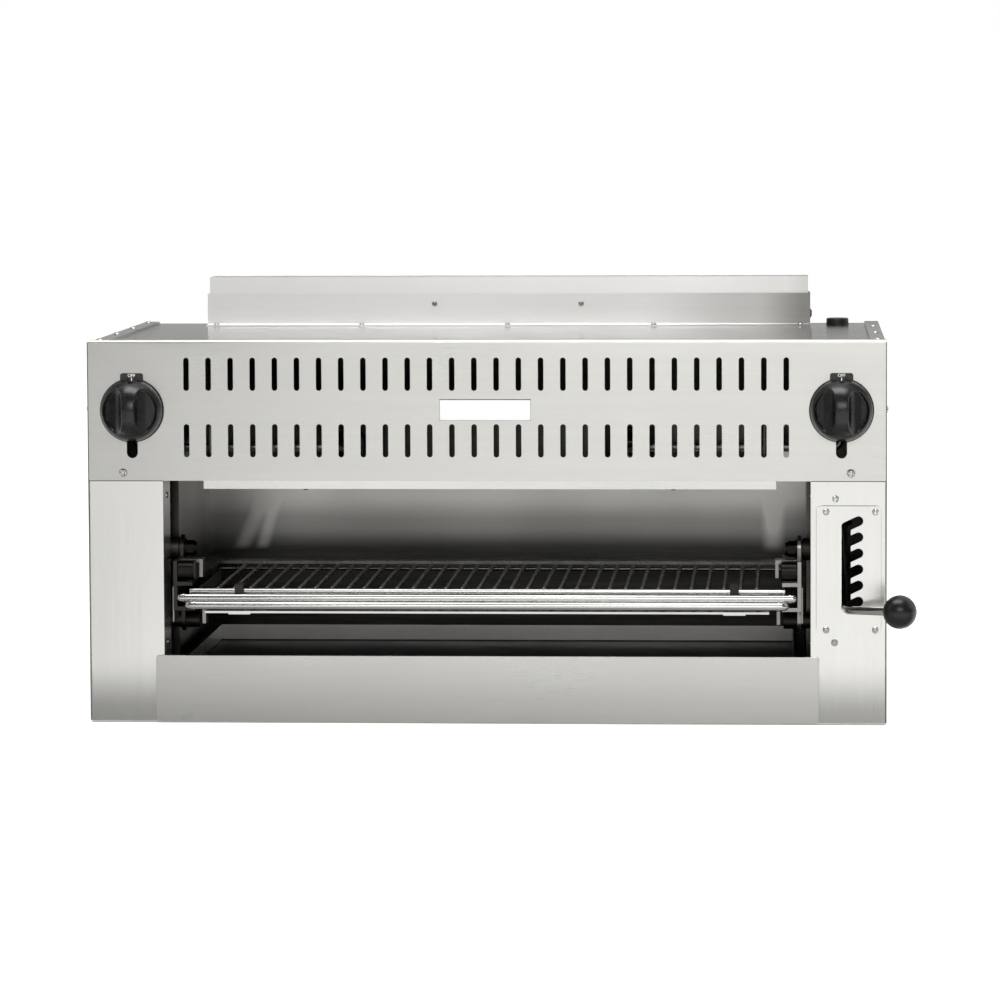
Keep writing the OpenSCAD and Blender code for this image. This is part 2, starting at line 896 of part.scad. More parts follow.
module gas_valves() {
    color(brass) both_sides() difference() {
        union() {
            rod_y(knob_x, valve_d, knob_z, valve_dia);
            rod_y(knob_x, [valve_neck, valve_d[0]], knob_z, 18);
            rod_z(knob_x, valve_out_d, [valve_out_z, knob_z], valve_out_dia);
            rod_x([knob_x - 20, knob_x], pilot_d, knob_z - pilot_rise, 9);
        }
        rod_y(knob_x, [valve_neck - 1, valve_neck + stem_depth + 2], knob_z, stem_dia + 2 * run_fit);
    }
}

// A tube down from each valve, along the front and back into the orifice
module burner_tubes() {
    r = tube_bend;
    color(bright) both_sides() {
        rod_z(knob_x, valve_out_d, [venturi_z + r, valve_out_z], tube_dia);
        at(knob_x - r, valve_out_d, venturi_z + r) rotate([-90, 0, 0]) elbow(r, tube_dia);
        rod_x([burner_x_mid + r, knob_x - r], valve_out_d, venturi_z, tube_dia);
        at(burner_x_mid + r, valve_out_d + r, venturi_z) rotate([0, 0, 180]) elbow(r, tube_dia);
        rod_y(burner_x_mid, [valve_out_d + r, orifice_d[0]], venturi_z, tube_dia);
    }
}

// A thin tube from each valve inwards, down and back to the pilot
module pilot_tubes() {
    r = 9;
    z = knob_z - pilot_rise;
    color(bright) both_sides() {
        rod_x([pilot_x + r, knob_x - 20], pilot_d, z, pilot_dia);
        at(pilot_x + r, pilot_d, z - r) rotate([90, -90, 0]) elbow(r, pilot_dia);
        rod_z(pilot_x, pilot_d, [pilot_z + r, z - r], pilot_dia);
        at(pilot_x, pilot_d + r, pilot_z + r) rotate([180, 90, 0]) elbow(r, pilot_dia);
        rod_y(pilot_x, [pilot_d + r, pilot_end_d], pilot_z, pilot_dia);
    }
}

module pilot_burners() {
    end = pilot_end_d + pilot_len;
    color(dark_steel) both_sides() {
        rod_y(pilot_x, [pilot_end_d, end], pilot_z, pilot_burner_dia);
        block([pilot_x - 5, pilot_x + 5], [end, end + 2], [pilot_z - 5, pilot_z + 5]);
    }
}

module gas_supply_pipe() {
    color(dark_steel) difference() {
        union() {
            rod_y(knob_x, supply_d, knob_z, supply_dia);
            rod_y(knob_x, [supply_d[1], body_d], knob_z, tee_dia);
            rod_z(knob_x, inlet_d, [knob_z, knob_z + 28], tee_dia);
            rod_z(knob_x, inlet_d, [knob_z, nipple_z], nipple_dia);
        }
        rod_y(knob_x, [body_d - inlet_len, body_d + 1], knob_z, 2 * inlet_r);
    }
}

module inlet_cap() {
    round_r = 2;
    color(black) at(knob_x, inlet_d, nipple_z) rotate_extrude() {
        square([cap_dia / 2, cap_h - round_r]);
        square([cap_dia / 2 - round_r, cap_h]);
        translate([cap_dia / 2 - round_r, cap_h - round_r]) circle(round_r);
    }
}

// ---- Flue ----------------------------------------------------------------

// Section of the riser's front wall, which turns forwards into a flange
module riser_section() {
    bend_z = panel_z + bend_r;
    translate([riser_front, bend_z]) square([sheet_t, riser_h - bend_r]);
    translate([riser_front + sheet_t - bend_r, bend_z]) mirror([0, 1]) bend_2d();
    translate([riser_front - riser_flange, panel_z])
        square([riser_flange + sheet_t - bend_r, sheet_t]);
}

module riser_face_places() {
    both_sides() face_front(riser_face_x, riser_front, riser_face_z) children();
}

module riser_bolt_place() {
    face_right(riser_x, riser_back - 26, riser_bolt_z) children();
}

module flue_riser() {
    z = [panel_z, panel_z + riser_h];
    color(steel) difference() {
        union() {
            along_x([-riser_x, riser_x]) riser_section();
            block([-riser_x, riser_x], [riser_back - sheet_t, riser_back], z);
            both_sides() block([riser_x - sheet_t, riser_x], [riser_front + sheet_t / 2, riser_back], z);
        }
        riser_screw_places() shank_hole();
        riser_face_places() shank_hole();
        riser_bolt_place() shank_hole();
    }
}

module flue_sleeve() {
    z = [panel_z, panel_z + sleeve_h];
    color(bright) difference() {
        block([-sleeve_x, sleeve_x], sleeve_d, z);
        block([-sleeve_x + sheet_t, sleeve_x - sheet_t],
              [sleeve_d[0] + sheet_t, sleeve_d[1] - sheet_t], [z[0] - 1, z[1] + 1]);
        riser_face_places() shank_hole();
        riser_bolt_place() shank_hole();
    }
}

// ---- Inner fittings ------------------------------------------------------

module tray_runners() {
    d = [liner_d, rear_d];
    color(dark_steel) both_sides() {
        block([liner_in - runner_w, liner_in], d, [runner_z - 1.9, runner_z]);
        block([liner_in - 1.9, liner_in], d, [runner_z - 1.9, runner_z + runner_leg]);
    }
}

// A flanged bearing on the inside of the side panel
module bearing(d, z, dia) {
    difference() {
        union() {
            rod_x([bearing_x, wall_x], d, z, dia + 2 * bearing_wall);
            rod_x([wall_x - 4, wall_x], d, z, dia + 4 * bearing_wall);
        }
        rod_x([bearing_x - 1, shaft_end + seat_gap], d, z, dia + 2 * run_fit);
    }
}

module shaft_bearings() {
    color(dark_steel) both_sides() {
        bearing(shaft_d, shaft_z, shaft_dia);
        bearing(link_shaft_d, link_shaft_z, link_shaft_dia);
    }
}

// Brackets below the top panel that hold the upper ends of the springs
module spring_anchors() {
    z = spring_hook[1];
    color(dark_steel) both_sides() {
        block([spring_x + 4, spring_x + 8], [spring_d - 12, spring_d + 12], [z - 10, panel_z - sheet_t]);
        rod_x([spring_x - 5, spring_x + 4], spring_d, z + stud_dia / 2 + seat_gap, stud_dia);
    }
}

// A balance spring as a plain sleeve with its two end hooks
module lift_springs() {
    color(bright) both_sides() {
        difference() {
            rod_z(spring_x, spring_d, spring_z, spring_dia);
            rod_z(spring_x, spring_d, [spring_z[0] + 4, spring_z[1] - 4], spring_bore);
        }
        rod_z(spring_x, spring_d, [spring_hook[0], spring_z[0]], spring_wire);
        rod_z(spring_x, spring_d, [spring_z[1], spring_hook[1]], spring_wire);
    }
}

// ---- Screws --------------------------------------------------------------

module top_screws() {
    color(bright) {
        mirror([1, 0, 0]) flange_screw_places(left_flange_d) dome_screw();
        flange_screw_places(right_flange_d) dome_screw();
        edge_screw_places() dome_screw();
        riser_screw_places() dome_screw(8, 2.6);
        riser_face_places() dome_screw(7, 2.4, 4);
        riser_bolt_place() dome_screw(12, 2.7, 4);
    }
}

module front_screws() {
    color(bright) {
        both_sides() {
            face_front(front_screw_x, 0, front_screw_z) dome_screw();
            side_screw_place() dome_screw();
            return_screw_places() dome_screw(8, 2.4, 5);
        }
        plate_screw_places() dome_screw(8, 2.4);
        lip_screw_places() dome_screw(lip_screw_dia, 2.4, 5);
    }
}

// ---- Lift arms -----------------------------------------------------------

module lift_shaft() {
    color(dark_steel) rod_x([-shaft_end, shaft_end], shaft_d, shaft_z, shaft_dia);
}

// A flat bar with round ends between two places on one side
module link_bar(a, b, w, x) {
    along_x(x) slot_2d(a, b, w);
}

// Arm, hub, front boss, pivot pin and spring stud
module lift_arm() {
    hub_x = [arm_x - 4, arm_out + 8];
    boss_x = rail_out + washer_t + seat_gap;
    color(dark_steel) difference() {
        union() {
            link_bar([pivot_d, pivot_z], [shaft_d, shaft_z], arm_w, [arm_x, arm_out]);
            rod_x(hub_x, shaft_d, shaft_z, hub_dia);
            rod_x([boss_x, arm_x + 1], pivot_d, pivot_z, boss_big);
            rod_x([rail_out + seat_gap, boss_x + 1], pivot_d, pivot_z, 20);
            rod_x([nut_x, rail_out + 1], pivot_d, pivot_z, pivot_dia);
            rod_x([spring_x - 5, arm_x + 1], spring_d, stud_z, stud_dia);
            children();
        }
        rod_x([hub_x[0] - 1, hub_x[1] + 1], shaft_d, shaft_z, shaft_dia);
    }
}

module left_lift_arm() {
    mirror([1, 0, 0]) lift_arm();
}

// The lever's own frame: origin at its pivot, -Y along the rod, Z along the pivot pin
module lever_frame() {
    at(lever_x, lever_pivot_d, lever_pivot_z) rotate([lever_fall, 0, 0]) rotate([0, -notch_slant, 0])
        children();
}

// A fork on the right arm that carries the lever's eye on a pin
module lever_fork() {
    gap = eye_h / 2 + seat_gap;
    reach = 22;
    side = 2.5 * eye_dia;
    rod_x([arm_x, arm_out], lever_pivot_d, lever_pivot_z - 4, 38);
    intersection() {
        lever_frame() for (side = [-1, 1]) {
            z0 = side > 0 ? gap : -gap - cheek_t;
            translate([0, 0, z0]) cylinder(h = cheek_t, d = eye_dia);
            translate([-reach, -eye_dia / 2, z0]) cube([reach, eye_dia, cheek_t]);
        }
        block([arm_out - 2, lever_x + eye_dia], [lever_pivot_d - side, lever_pivot_d + side],
              [lever_pivot_z - side, lever_pivot_z + side]);
    }
    lever_frame() translate([0, 0, -gap - cheek_t - 2]) cylinder(h = 2 * (gap + cheek_t + 2), d = eye_pin);
}

module right_lift_arm() {
    lift_arm() lever_fork();
}

module pivot_nuts() {
    inner = nut_x + 9;
    color(black) both_sides() difference() {
        union() {
            at(nut_x, pivot_d, pivot_z) rotate([0, 90, 0]) cylinder(h = 9, d = nut_dia, $fn = 6);
            rod_x([nut_x - 3, nut_x], pivot_d, pivot_z, nut_dia - 3);
            rod_x([inner, inner + washer_t], pivot_d, pivot_z, 2 * pivot_dia);
        }
        rod_x([nut_x, inner + washer_t + 1], pivot_d, pivot_z, pivot_dia);
    }
}

// ---- Carriage ------------------------------------------------------------

// Channel rail with an ear for the upper pivot and a lobe for the lower one
module grid_rail() {
    web = [rail_x, rail_out];
    upright_top = spacer_z + spacer_dia / 2 + 1;
    color(steel) difference() {
        union() {
            block(web, rail_d, [rail_z, rail_top]);
            block([rail_in, rail_out], rail_d, [rail_z, rail_z + rail_t]);
            block([rail_in, rail_out], rail_d, [rail_top - rail_t, rail_top]);
            block(web, [rail_d[0], 4 * spacer_d + rail_d[0]], [rail_z, upright_top]);
            along_x(web) slot_2d([pivot_d, rail_z + 10], [pivot_d, pivot_z], 2 * ear_r);
            along_x(web) slot_2d([link_d, rail_z + 10], [link_d, link_z], 2 * lobe_r);
        }
        rod_x([rail_x - 1, rail_out + 1], pivot_d, pivot_z, pivot_dia + 2 * run_fit);
        rod_x([rail_x - 1, rail_out + 1], link_d, link_z, link_pin_dia + 2 * open_fit);
        rod_x([rail_x - 1, rail_out + 1], spacer_d, spacer_z, shank_dia + 2 * screw_fit);
    }
}

module left_grid_rail() {
    mirror([1, 0, 0]) grid_rail();
}

module right_grid_rail() {
    grid_rail();
}

module rail_spacers() {
    color(black) both_sides() {
        rod_x([spacer_x, rail_x], spacer_d, spacer_z, spacer_dia);
        rod_x([rail_x, rail_out + 1], spacer_d, spacer_z, shank_dia);
    }
}

// Angle straps inside the rails and thin doublers outside them
module rail_straps() {
    t = rail_t;
    d = [34, 54];
    top = spacer_z + spacer_dia / 2;
    leg = rail_in - 8;
    low_x = rail_in - 6.5;
    doubler_d = [8, 48];
    doubler_z = [rail_z - 14, rail_top - 6];
    color(steel) both_sides() {
        block([leg, rail_x], d, [top - t, top]);
        block([leg, leg + t], d, [rail_top + 2, top]);
        block([low_x, low_x + t], [link_d - 10, link_d + 10], [link_z - 4, rail_z]);
        block([low_x, rail_in + 8], [link_d - 10, link_d + 10], [rail_z - 3, rail_z]);
        block([rail_out, rail_out + 2], doubler_d, doubler_z);
    }
}

module carriage_cross_bar() {
    color(bright) block([-rail_x, rail_x], [rail_d[1] - 25, rail_d[1]], [rail_top - 9.5, rail_top - 5.5]);
}

// ---- Lower links ---------------------------------------------------------

module link_shaft() {
    color(dark_steel) rod_x([-shaft_end, shaft_end], link_shaft_d, link_shaft_z, link_shaft_dia);
}

module lower_link_arms() {
    boss_x = rail_out + washer_t + seat_gap;
    nut = [rail_in + 1.5, rail_x - seat_gap];
    color(dark_steel) both_sides() difference() {
        union() {
            link_bar([link_d, link_z], [link_shaft_d, link_shaft_z], link_w, [arm_x, arm_out]);
            rod_x([arm_x - 4, arm_out + 6], link_shaft_d, link_shaft_z, link_shaft_dia + 12);
            rod_x([rail_out + seat_gap, arm_x + 1], link_d, link_z, link_w);
            rod_x([nut[1] - 1, rail_out + seat_gap + 1], link_d, link_z, link_pin_dia);
            rod_x(nut, link_d, link_z, nut_dia);
        }
        rod_x([arm_x - 5, arm_out + 7], link_shaft_d, link_shaft_z, link_shaft_dia);
    }
}

// ---- Grid ----------------------------------------------------------------

module grid_rods() {
    rod_pitch = 2 * (side_bar_x[0] - rod_inset) / (rod_count - 1);
    cross_x = side_bar_x[1] - 1.5;
    color(bright) {
        for (i = [0:rod_count - 1])
            rod_y((i - (rod_count - 1) / 2) * rod_pitch, [grid_d, grid_d + rod_len], rod_z0, rod_dia);
        rod_x([-cross_x, cross_x], grid_d, cross_z, cross_dia);
        rod_x([-cross_x, cross_x], grid_d + rod_len - 5, rear_cross_z, rod_dia);
    }
}

// Side bars, upper front bar with round ends and the two clips that hold the strip
module grid_frame() {
    color(bright) {
        rod_x([-bar_end, bar_end], bar_d, bar_z, bar_dia);
        both_sides() {
            at(bar_end, bar_d, bar_z) sphere(d = bar_dia);
            block(side_bar_x, [bar_d, grid_d + rod_len], [side_bar_z, side_bar_top]);
            block([clip_x - clip_w / 2, clip_x + clip_w / 2], [strip_d[0], strip_d[0] + clip_t],
                  [strip_z, clip_top]);
            block([clip_x - clip_w / 2, clip_x + clip_w / 2], [strip_d[0], grid_d + 8],
                  [clip_top - clip_t, clip_top]);
        }
    }
}

module grid_handle() {
    r = bar_d - handle_d;
    leg_x = side_bar_x[0] + 3;
    color(bright) difference() {
        union() {
            rod_x([-leg_x + r, leg_x - r], handle_d, handle_z, bar_dia);
            both_sides() at(leg_x - r, handle_d + r, handle_z) rotate([0, 0, -90]) elbow(r, bar_dia);
        }
        rod_x([-bar_end, bar_end], bar_d, bar_z, bar_dia + 2 * screw_fit);
    }
}

module grid_front_strip() {
    color(bright) {
        block([-strip_x, strip_x], strip_d, [strip_z - strip_t, strip_z]);
        both_sides() block(tab_x, [strip_d[0], strip_d[0] + 12], [strip_z - strip_t - tab_drop, strip_z - 1]);
    }
}

// ---- Lever ---------------------------------------------------------------

// Eye, straight rod, a rounded corner and a straight tail that ends inside the ball
module lever_rod() {
    color(bright) lever_frame() difference() {
        union() {
            translate([0, 0, -eye_h / 2]) cylinder(h = eye_h, d = eye_dia);
            rotate([0, bend_twist, 0]) {
                translate([0, -5, 0]) rotate([90, 0, 0]) cylinder(h = rod_run - 5, d = lever_dia);
                translate([0, -rod_run, 0]) {
                    sphere(d = lever_dia);
                    rotate([0, 0, bend_turn]) rotate([90, 0, 0]) cylinder(h = rod_tail, d = lever_dia);
                }
            }
        }
        translate([0, 0, -eye_h]) cylinder(h = 2 * eye_h, d = eye_pin + 2 * run_fit);
    }
}

module ball_knob() {
    color(black) at(ball_x, -ball_reach, ball_z) difference() {
        sphere(d = ball_dia);
        rotate([lever_fall, 0, 0]) rotate([0, bend_twist - notch_slant, 0]) rotate([0, 0, bend_turn])
            rotate([-90, 0, 0]) translate([0, 0, ball_grip]) cylinder(h = ball_dia, d = lever_dia);
    }
}

// ---- Knobs ---------------------------------------------------------------

// A domed knob whose two scooped sides leave a finger ridge and a rim
module knob() {
    r = knob_dia / 2;
    scoop = r - 3;
    rim = 9;
    dome = ((knob_len - rim / 2) * (knob_len - rim / 2) + r * r) / (2 * (knob_len - rim / 2));
    color(black) at(knob_x, -dial_t - knob_gap, knob_z) rotate([90, 0, 0]) difference() {
        rotate_extrude() intersection() {
            translate([0, knob_len - dome]) circle(dome);
            square([r, knob_len]);
        }
        intersection() {
            translate([0, 0, -1]) cylinder(h = 2 * knob_len, r = scoop);
            for (side = [-1, 1]) translate([side * (ridge_w / 2 + scoop), -knob_dia, rim + scoop])
                rotate([-90, 0, 0]) cylinder(h = 2 * knob_dia, r = scoop);
        }
        translate([0, r - 0.5, -1]) cylinder(h = knob_len, d = 8);
        translate([0, 0, -1]) cylinder(h = stem_reach + 1, d = stem_dia);
    }
}

module left_knob() {
    mirror([1, 0, 0]) knob();
}

module right_knob() {
    knob();
}

module valve_stem() {
    color(bright) rod_y(knob_x, [-dial_t - knob_gap - stem_reach, valve_neck + stem_depth], knob_z, stem_dia);
}

module left_valve_stem() {
    mirror([1, 0, 0]) valve_stem();
}

module right_valve_stem() {
    valve_stem();
}

// ---- Drip tray -----------------------------------------------------------

module drip_tray() {
    t = sheet_t;
    d = [tray_front_d + t, tray_end];
    z = [tray_z, tray_z + tray_wall];
    color(steel) difference() {
        block([-tray_x, tray_x], d, z);
        block([-tray_x + t, tray_x - t], [d[0] + t, d[1] - t], [z[0] + t, z[1] + 1]);
    }
}

module drip_tray_front() {
    t = sheet_t;
    x = tray_front_x;
    z = 1.5;
    color(steel) {
        along_y([tray_front_d, tray_edge]) difference() {
            translate([-x, z]) rounded_2d(2 * x, tray_front_h - z, tray_front_r);
            translate([-x + t, z + t]) rounded_2d(2 * (x - t), tray_front_h - z - 2 * t, tray_front_r - t);
        }
        along_y([tray_front_d, tray_front_d + t])
            translate([-x, z]) rounded_2d(2 * x, tray_front_h - z, tray_front_r);
    }
}

left_side_panel();
right_side_panel();
back_panel();
top_panel();
bottom_panel();
louver_panel();
left_column();
right_column();
lever_guide_plate();
side_liners();
rear_liner();
heat_shield();
burner_housing();
left_burner();
right_burner();
ceramic_tiles();
burner_screens();
orifice_fittings();
gas_manifold();
gas_valves();
burner_tubes();
pilot_tubes();
pilot_burners();
gas_supply_pipe();
inlet_cap();
flue_riser();
flue_sleeve();
name_badge();
dial_plates();
tray_runners();
shaft_bearings();
spring_anchors();
lift_springs();
top_screws();
front_screws();
lift_shaft();
left_lift_arm();
right_lift_arm();
pivot_nuts();
left_grid_rail();
right_grid_rail();
rail_spacers();
rail_straps();
carriage_cross_bar();
link_shaft();
lower_link_arms();
grid_rods();
grid_frame();
grid_handle();
grid_front_strip();
lever_rod();
ball_knob();
left_knob();
right_knob();
left_valve_stem();
right_valve_stem();
drip_tray();
drip_tray_front();
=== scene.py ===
"""Looks of the range-mount radiant broiler (large cheese melter): stainless casing, black knobs,
a grid that hangs in a spring-balanced lift, and a notched plate with a lever and ball.

Lengths are in millimetres up to the last step, where place() turns them into metres. A place is
(x, d, z): d is the depth behind the front plane, as in the part's source."""

import json
import math

import bmesh
import bpy
import numpy as np
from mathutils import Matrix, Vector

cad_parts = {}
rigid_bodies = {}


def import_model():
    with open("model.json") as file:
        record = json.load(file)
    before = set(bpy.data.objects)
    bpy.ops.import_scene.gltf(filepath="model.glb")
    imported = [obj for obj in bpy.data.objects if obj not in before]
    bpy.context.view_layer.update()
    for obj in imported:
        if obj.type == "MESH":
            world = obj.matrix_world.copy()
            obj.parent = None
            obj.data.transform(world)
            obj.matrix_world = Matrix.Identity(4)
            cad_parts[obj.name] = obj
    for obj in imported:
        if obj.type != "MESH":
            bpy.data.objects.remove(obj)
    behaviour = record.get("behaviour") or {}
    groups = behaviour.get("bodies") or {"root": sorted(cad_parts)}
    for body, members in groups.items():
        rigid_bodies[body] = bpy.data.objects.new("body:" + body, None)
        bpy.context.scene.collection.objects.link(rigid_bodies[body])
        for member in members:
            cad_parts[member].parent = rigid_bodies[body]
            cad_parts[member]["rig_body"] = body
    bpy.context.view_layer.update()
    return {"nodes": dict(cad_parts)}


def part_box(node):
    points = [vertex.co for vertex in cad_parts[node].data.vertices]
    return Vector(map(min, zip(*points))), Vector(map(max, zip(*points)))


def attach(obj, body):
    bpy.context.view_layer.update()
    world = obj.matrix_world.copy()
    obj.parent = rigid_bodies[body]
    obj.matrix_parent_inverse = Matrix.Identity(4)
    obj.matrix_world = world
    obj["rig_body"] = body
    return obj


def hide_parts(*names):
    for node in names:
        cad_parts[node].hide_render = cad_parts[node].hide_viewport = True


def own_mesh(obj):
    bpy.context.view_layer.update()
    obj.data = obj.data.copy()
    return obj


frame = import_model()

MM = 0.001
HALF_DEPTH = 235.0
# Corners closer than this, in metres, are one
MERGE = 1e-5
# Angles in degrees: faces closer than FLAT are one plane, and edges sharper than SHEET_EDGE and
# BEVEL_EDGE stay sharp and get a rounded edge
FLAT, SHEET_EDGE, BEVEL_EDGE = 0.5, 30, 40
UP, DOWN, FRONT, LEFT, RIGHT = (0, 0, 1), (0, 0, -1), (0, -1, 0), (-1, 0, 0), (1, 0, 0)


# ---- Shapes -----------------------------------------------------------------


def place(points):
    """(x, d, z) in millimetres to the row frame in metres."""
    return (np.asarray(points, float) - [0, HALF_DEPTH, 0]) * MM


def unit(v):
    """v at length one, along its last axis."""
    v = np.asarray(v, float)
    return v / np.linalg.norm(v, axis=-1, keepdims=True)


def grid_faces(rows, cols, start=0):
    """Quads between neighbouring rings of a grid whose rings close on themselves."""
    r, c = np.meshgrid(np.arange(rows - 1), np.arange(cols), indexing="ij")
    n = (c + 1) % cols
    quads = np.stack([r * cols + c, r * cols + n, (r + 1) * cols + n, (r + 1) * cols + c], -1)
    return (quads.reshape(-1, 4) + start).tolist()


def fan_faces(ring, centre, flip):
    """Triangles from a ring of vertex numbers to one centre vertex."""
    after = np.roll(ring, -1)
    order = [after, ring] if flip else [ring, after]
    return np.stack([*order, np.full(len(ring), centre)], -1).tolist()


def tube_shape(rings, tips):
    """Rings of points (rows, cols, 3) as a closed skin; tips are the two end points of the fans."""
    rows, cols = rings.shape[:2]
    points = np.vstack([rings.reshape(-1, 3), tips])
    faces = grid_faces(rows, cols)
    faces += fan_faces(np.arange(cols), rows * cols, True)
    faces += fan_faces(np.arange(cols) + (rows - 1) * cols, rows * cols + 1, False)
    return points, faces


def lathe(profile, sides=48, tips=None):
    """A profile of (radius, height) turned about z: x is radius * cos(turn) and y is
    radius * sin(turn)."""
    profile = np.asarray(profile, float)
    turn = np.linspace(0, 2 * math.pi, sides, endpoint=False)
    rings = np.empty((len(profile), sides, 3))
    rings[..., 0] = profile[:, :1] * np.cos(turn)
    rings[..., 1] = profile[:, :1] * np.sin(turn)
    rings[..., 2] = profile[:, 1:]
    ends = tips or (profile[0, 1], profile[-1, 1])
    return tube_shape(rings, [[0, 0, ends[0]], [0, 0, ends[1]]])


def sweep(path, radius, plane, sides=24, ease=0.8):
    """A round bar along a flat path: each ring is path + radius * (cos * side + sin * plane), where
    side is square to the path in its own plane. The ends ease in over a small edge radius."""
    path = np.asarray(path, float)
    along = unit(np.gradient(path, axis=0))
    plane = unit(plane)
    size = np.full(len(path), float(radius))
    if ease:
        lead, tail = path[0] + along[0] * ease, path[-1] - along[-1] * ease
        path = np.vstack([path[:1], lead, path[1:-1], tail, path[-1:]])
        along = np.vstack([along[:1], along, along[-1:]])
        size = np.concatenate([[radius - ease], np.full(len(path) - 2, radius), [radius - ease]])
    side = unit(np.cross(along, plane))
    turn = np.linspace(0, 2 * math.pi, sides, endpoint=False)
    ring = side[:, None] * np.cos(turn)[None, :, None] + plane * np.sin(turn)[None, :, None]
    return tube_shape(path[:, None] + size[:, None, None] * ring, path[[0, -1]])


def straight(a, b, radius, sides=24, ease=0.8):
    """A straight round bar from a to b."""
    along = np.subtract(b, a)
    plane = [0, 0, 1] if abs(along[2]) < 0.9 * np.linalg.norm(along) else [1, 0, 0]
    plane = plane - unit(along) * np.dot(plane, unit(along))
    return sweep([a, b], radius, plane, sides, ease)


def block(lo, hi):
    """A box between two corners, for a piece that a Bevel finishes."""
    pick = np.array([[i & 1, i >> 1 & 1, i >> 2 & 1] for i in range(8)], float)
    points = np.asarray(lo, float) + pick * np.subtract(hi, lo)
    faces = [[0, 2, 3, 1], [4, 5, 7, 6], [0, 1, 5, 4], [2, 6, 7, 3], [0, 4, 6, 2], [1, 3, 7, 5]]
    return points, faces


def turned(shape, origin, up):
    """A shape moved so that its z axis points along up and its origin lies at origin."""
    up = unit(up)
    right = unit(np.cross([0, 0.3, 1] if abs(up[2]) < 0.9 else [0, 1, 0], up))
    right = unit(right - up * np.dot(right, up))
    axes = np.stack([right, np.cross(up, right), up])
    return np.asarray(shape[0]) @ axes + np.asarray(origin, float), shape[1]


def mirrored(shape):
    """The same shape on the left side, with its faces turned back outwards."""
    return np.asarray(shape[0]) * [-1, 1, 1], [face[::-1] for face in shape[1]]


def both(shapes):
    """Shapes of the right side and their mirror images."""
    return list(shapes) + [mirrored(s) for s in shapes]


def piece(name, shapes, body, material, stands_for=(), bevel=0.0, smooth=35):
    """Shapes in millimetres joined into one named mesh that rides on a body."""
    points, faces, start = [], [], 0
    for shape_points, shape_faces in shapes:
        points.append(np.asarray(shape_points))
        faces += [[start + i for i in face] for face in shape_faces]
        start += len(shape_points)
    mesh = bpy.data.meshes.new(name)
    mesh.from_pydata(place(np.vstack(points)).tolist(), [], faces)
    return finished(name, mesh, body, material, stands_for, bevel, smooth)


def finished(name, mesh, body, material, stands_for, bevel, smooth):
    mesh.materials.clear()
    mesh.materials.append(material)
    mesh.polygons.foreach_set("use_smooth", np.ones(len(mesh.polygons), bool))
    mesh.set_sharp_from_angle(angle=math.radians(smooth))
    mesh.update()
    obj = bpy.data.objects.new(name, mesh)
    bpy.context.scene.collection.objects.link(obj)
    if bevel:
        edge = obj.modifiers.new("rounded edge", "BEVEL")
        edge.width, edge.segments = bevel * MM, 2
        edge.limit_method, edge.angle_limit = "ANGLE", math.radians(BEVEL_EDGE)
        edge.harden_normals = True
    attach(obj, body)
    if stands_for:
        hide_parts(*stands_for)
    return obj


def worked(node, material, bevel=0.35, upper=None):
    """The CAD node with its corners joined and its edges rounded as a deburred sheet's are.
    upper is a second finish and the height above which it covers the piece."""
    source = frame["nodes"][node]
    work = bmesh.new()
    work.from_mesh(source.data)
    bmesh.ops.remove_doubles(work, verts=work.verts, dist=MERGE)
    bmesh.ops.dissolve_limit(
        work, angle_limit=math.radians(FLAT), verts=work.verts, edges=work.edges
    )
    if upper:
        every = work.verts[:] + work.edges[:] + work.faces[:]
        bmesh.ops.bisect_plane(work, geom=every, plane_co=(0, 0, upper[1] * MM), plane_no=UP)
    mesh = bpy.data.meshes.new(node + "_worked")
    work.to_mesh(mesh)
    work.free()
    body = source["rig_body"]
    obj = finished(node + "_worked", mesh, body, material, [node], bevel, SHEET_EDGE)
    if upper:
        mesh.materials.append(upper[0])
        for polygon in mesh.polygons:
            polygon.material_index = int(polygon.center.z > upper[1] * MM)
    return obj


# ---- Materials --------------------------------------------------------------


def linear(code):
    """An sRGB hex code as a linear colour."""
    parts = np.array([int(code[i : i + 2], 16) / 255 for i in (1, 3, 5)])
    low, high = parts / 12.92, ((parts + 0.055) / 1.055) ** 2.4
    return (*np.where(parts <= 0.04045, low, high).tolist(), 1.0)


def add(tree, kind, sockets=None, **settings):
    """One node: settings go to its properties, and sockets by name get a value or a link."""
    made = tree.nodes.new("ShaderNode" + kind)
    for key, value in settings.items():
        setattr(made, key, value)
    for key, value in (sockets or {}).items():
        if isinstance(value, bpy.types.NodeSocket):
            tree.links.new(value, made.inputs[key])
        else:
            made.inputs[key].default_value = value
    return made


def new_material(name, **shader):
    """A material with its Principled shader; underscores in the socket names stand for spaces."""
    material = bpy.data.materials.new(name)
    material.use_nodes = True
    tree = material.node_tree
    principled = tree.nodes["Principled BSDF"]
    for key, value in shader.items():
        principled.inputs[key.replace("_", " ")].default_value = value
    return material, tree, principled


def pattern(tree, scale, detail, seed):
    """Noise on Object coordinates: scale is cells per millimetre along x, y and z."""
    coords = add(tree, "TexCoord").outputs["Object"]
    per_metre = [s / MM for s in scale]
    stretched = add(
        tree, "Mapping", {"Vector": coords, "Scale": per_metre, "Location": (seed, seed, seed)}
    )
    return add(
        tree,
        "TexNoise",
        {"Vector": stretched.outputs["Vector"], "Scale": 1.0, "Detail": detail, "Roughness": 0.5},
    ).outputs["Fac"]


def between(tree, value, low, high, start=0.3, end=0.7):
    """value from start..end carried to low..high."""
    return add(
        tree,
        "MapRange",
        {"Value": value, "From Min": start, "From Max": end, "To Min": low, "To Max": high},
    ).outputs["Result"]


def tinted(tree, factor, first, second):
    """A colour between two hex codes."""
    mix = add(tree, "Mix", data_type="RGBA")
    mix.inputs[6].default_value, mix.inputs[7].default_value = linear(first), linear(second)
    tree.links.new(factor, mix.inputs[0])
    return mix.outputs[2]


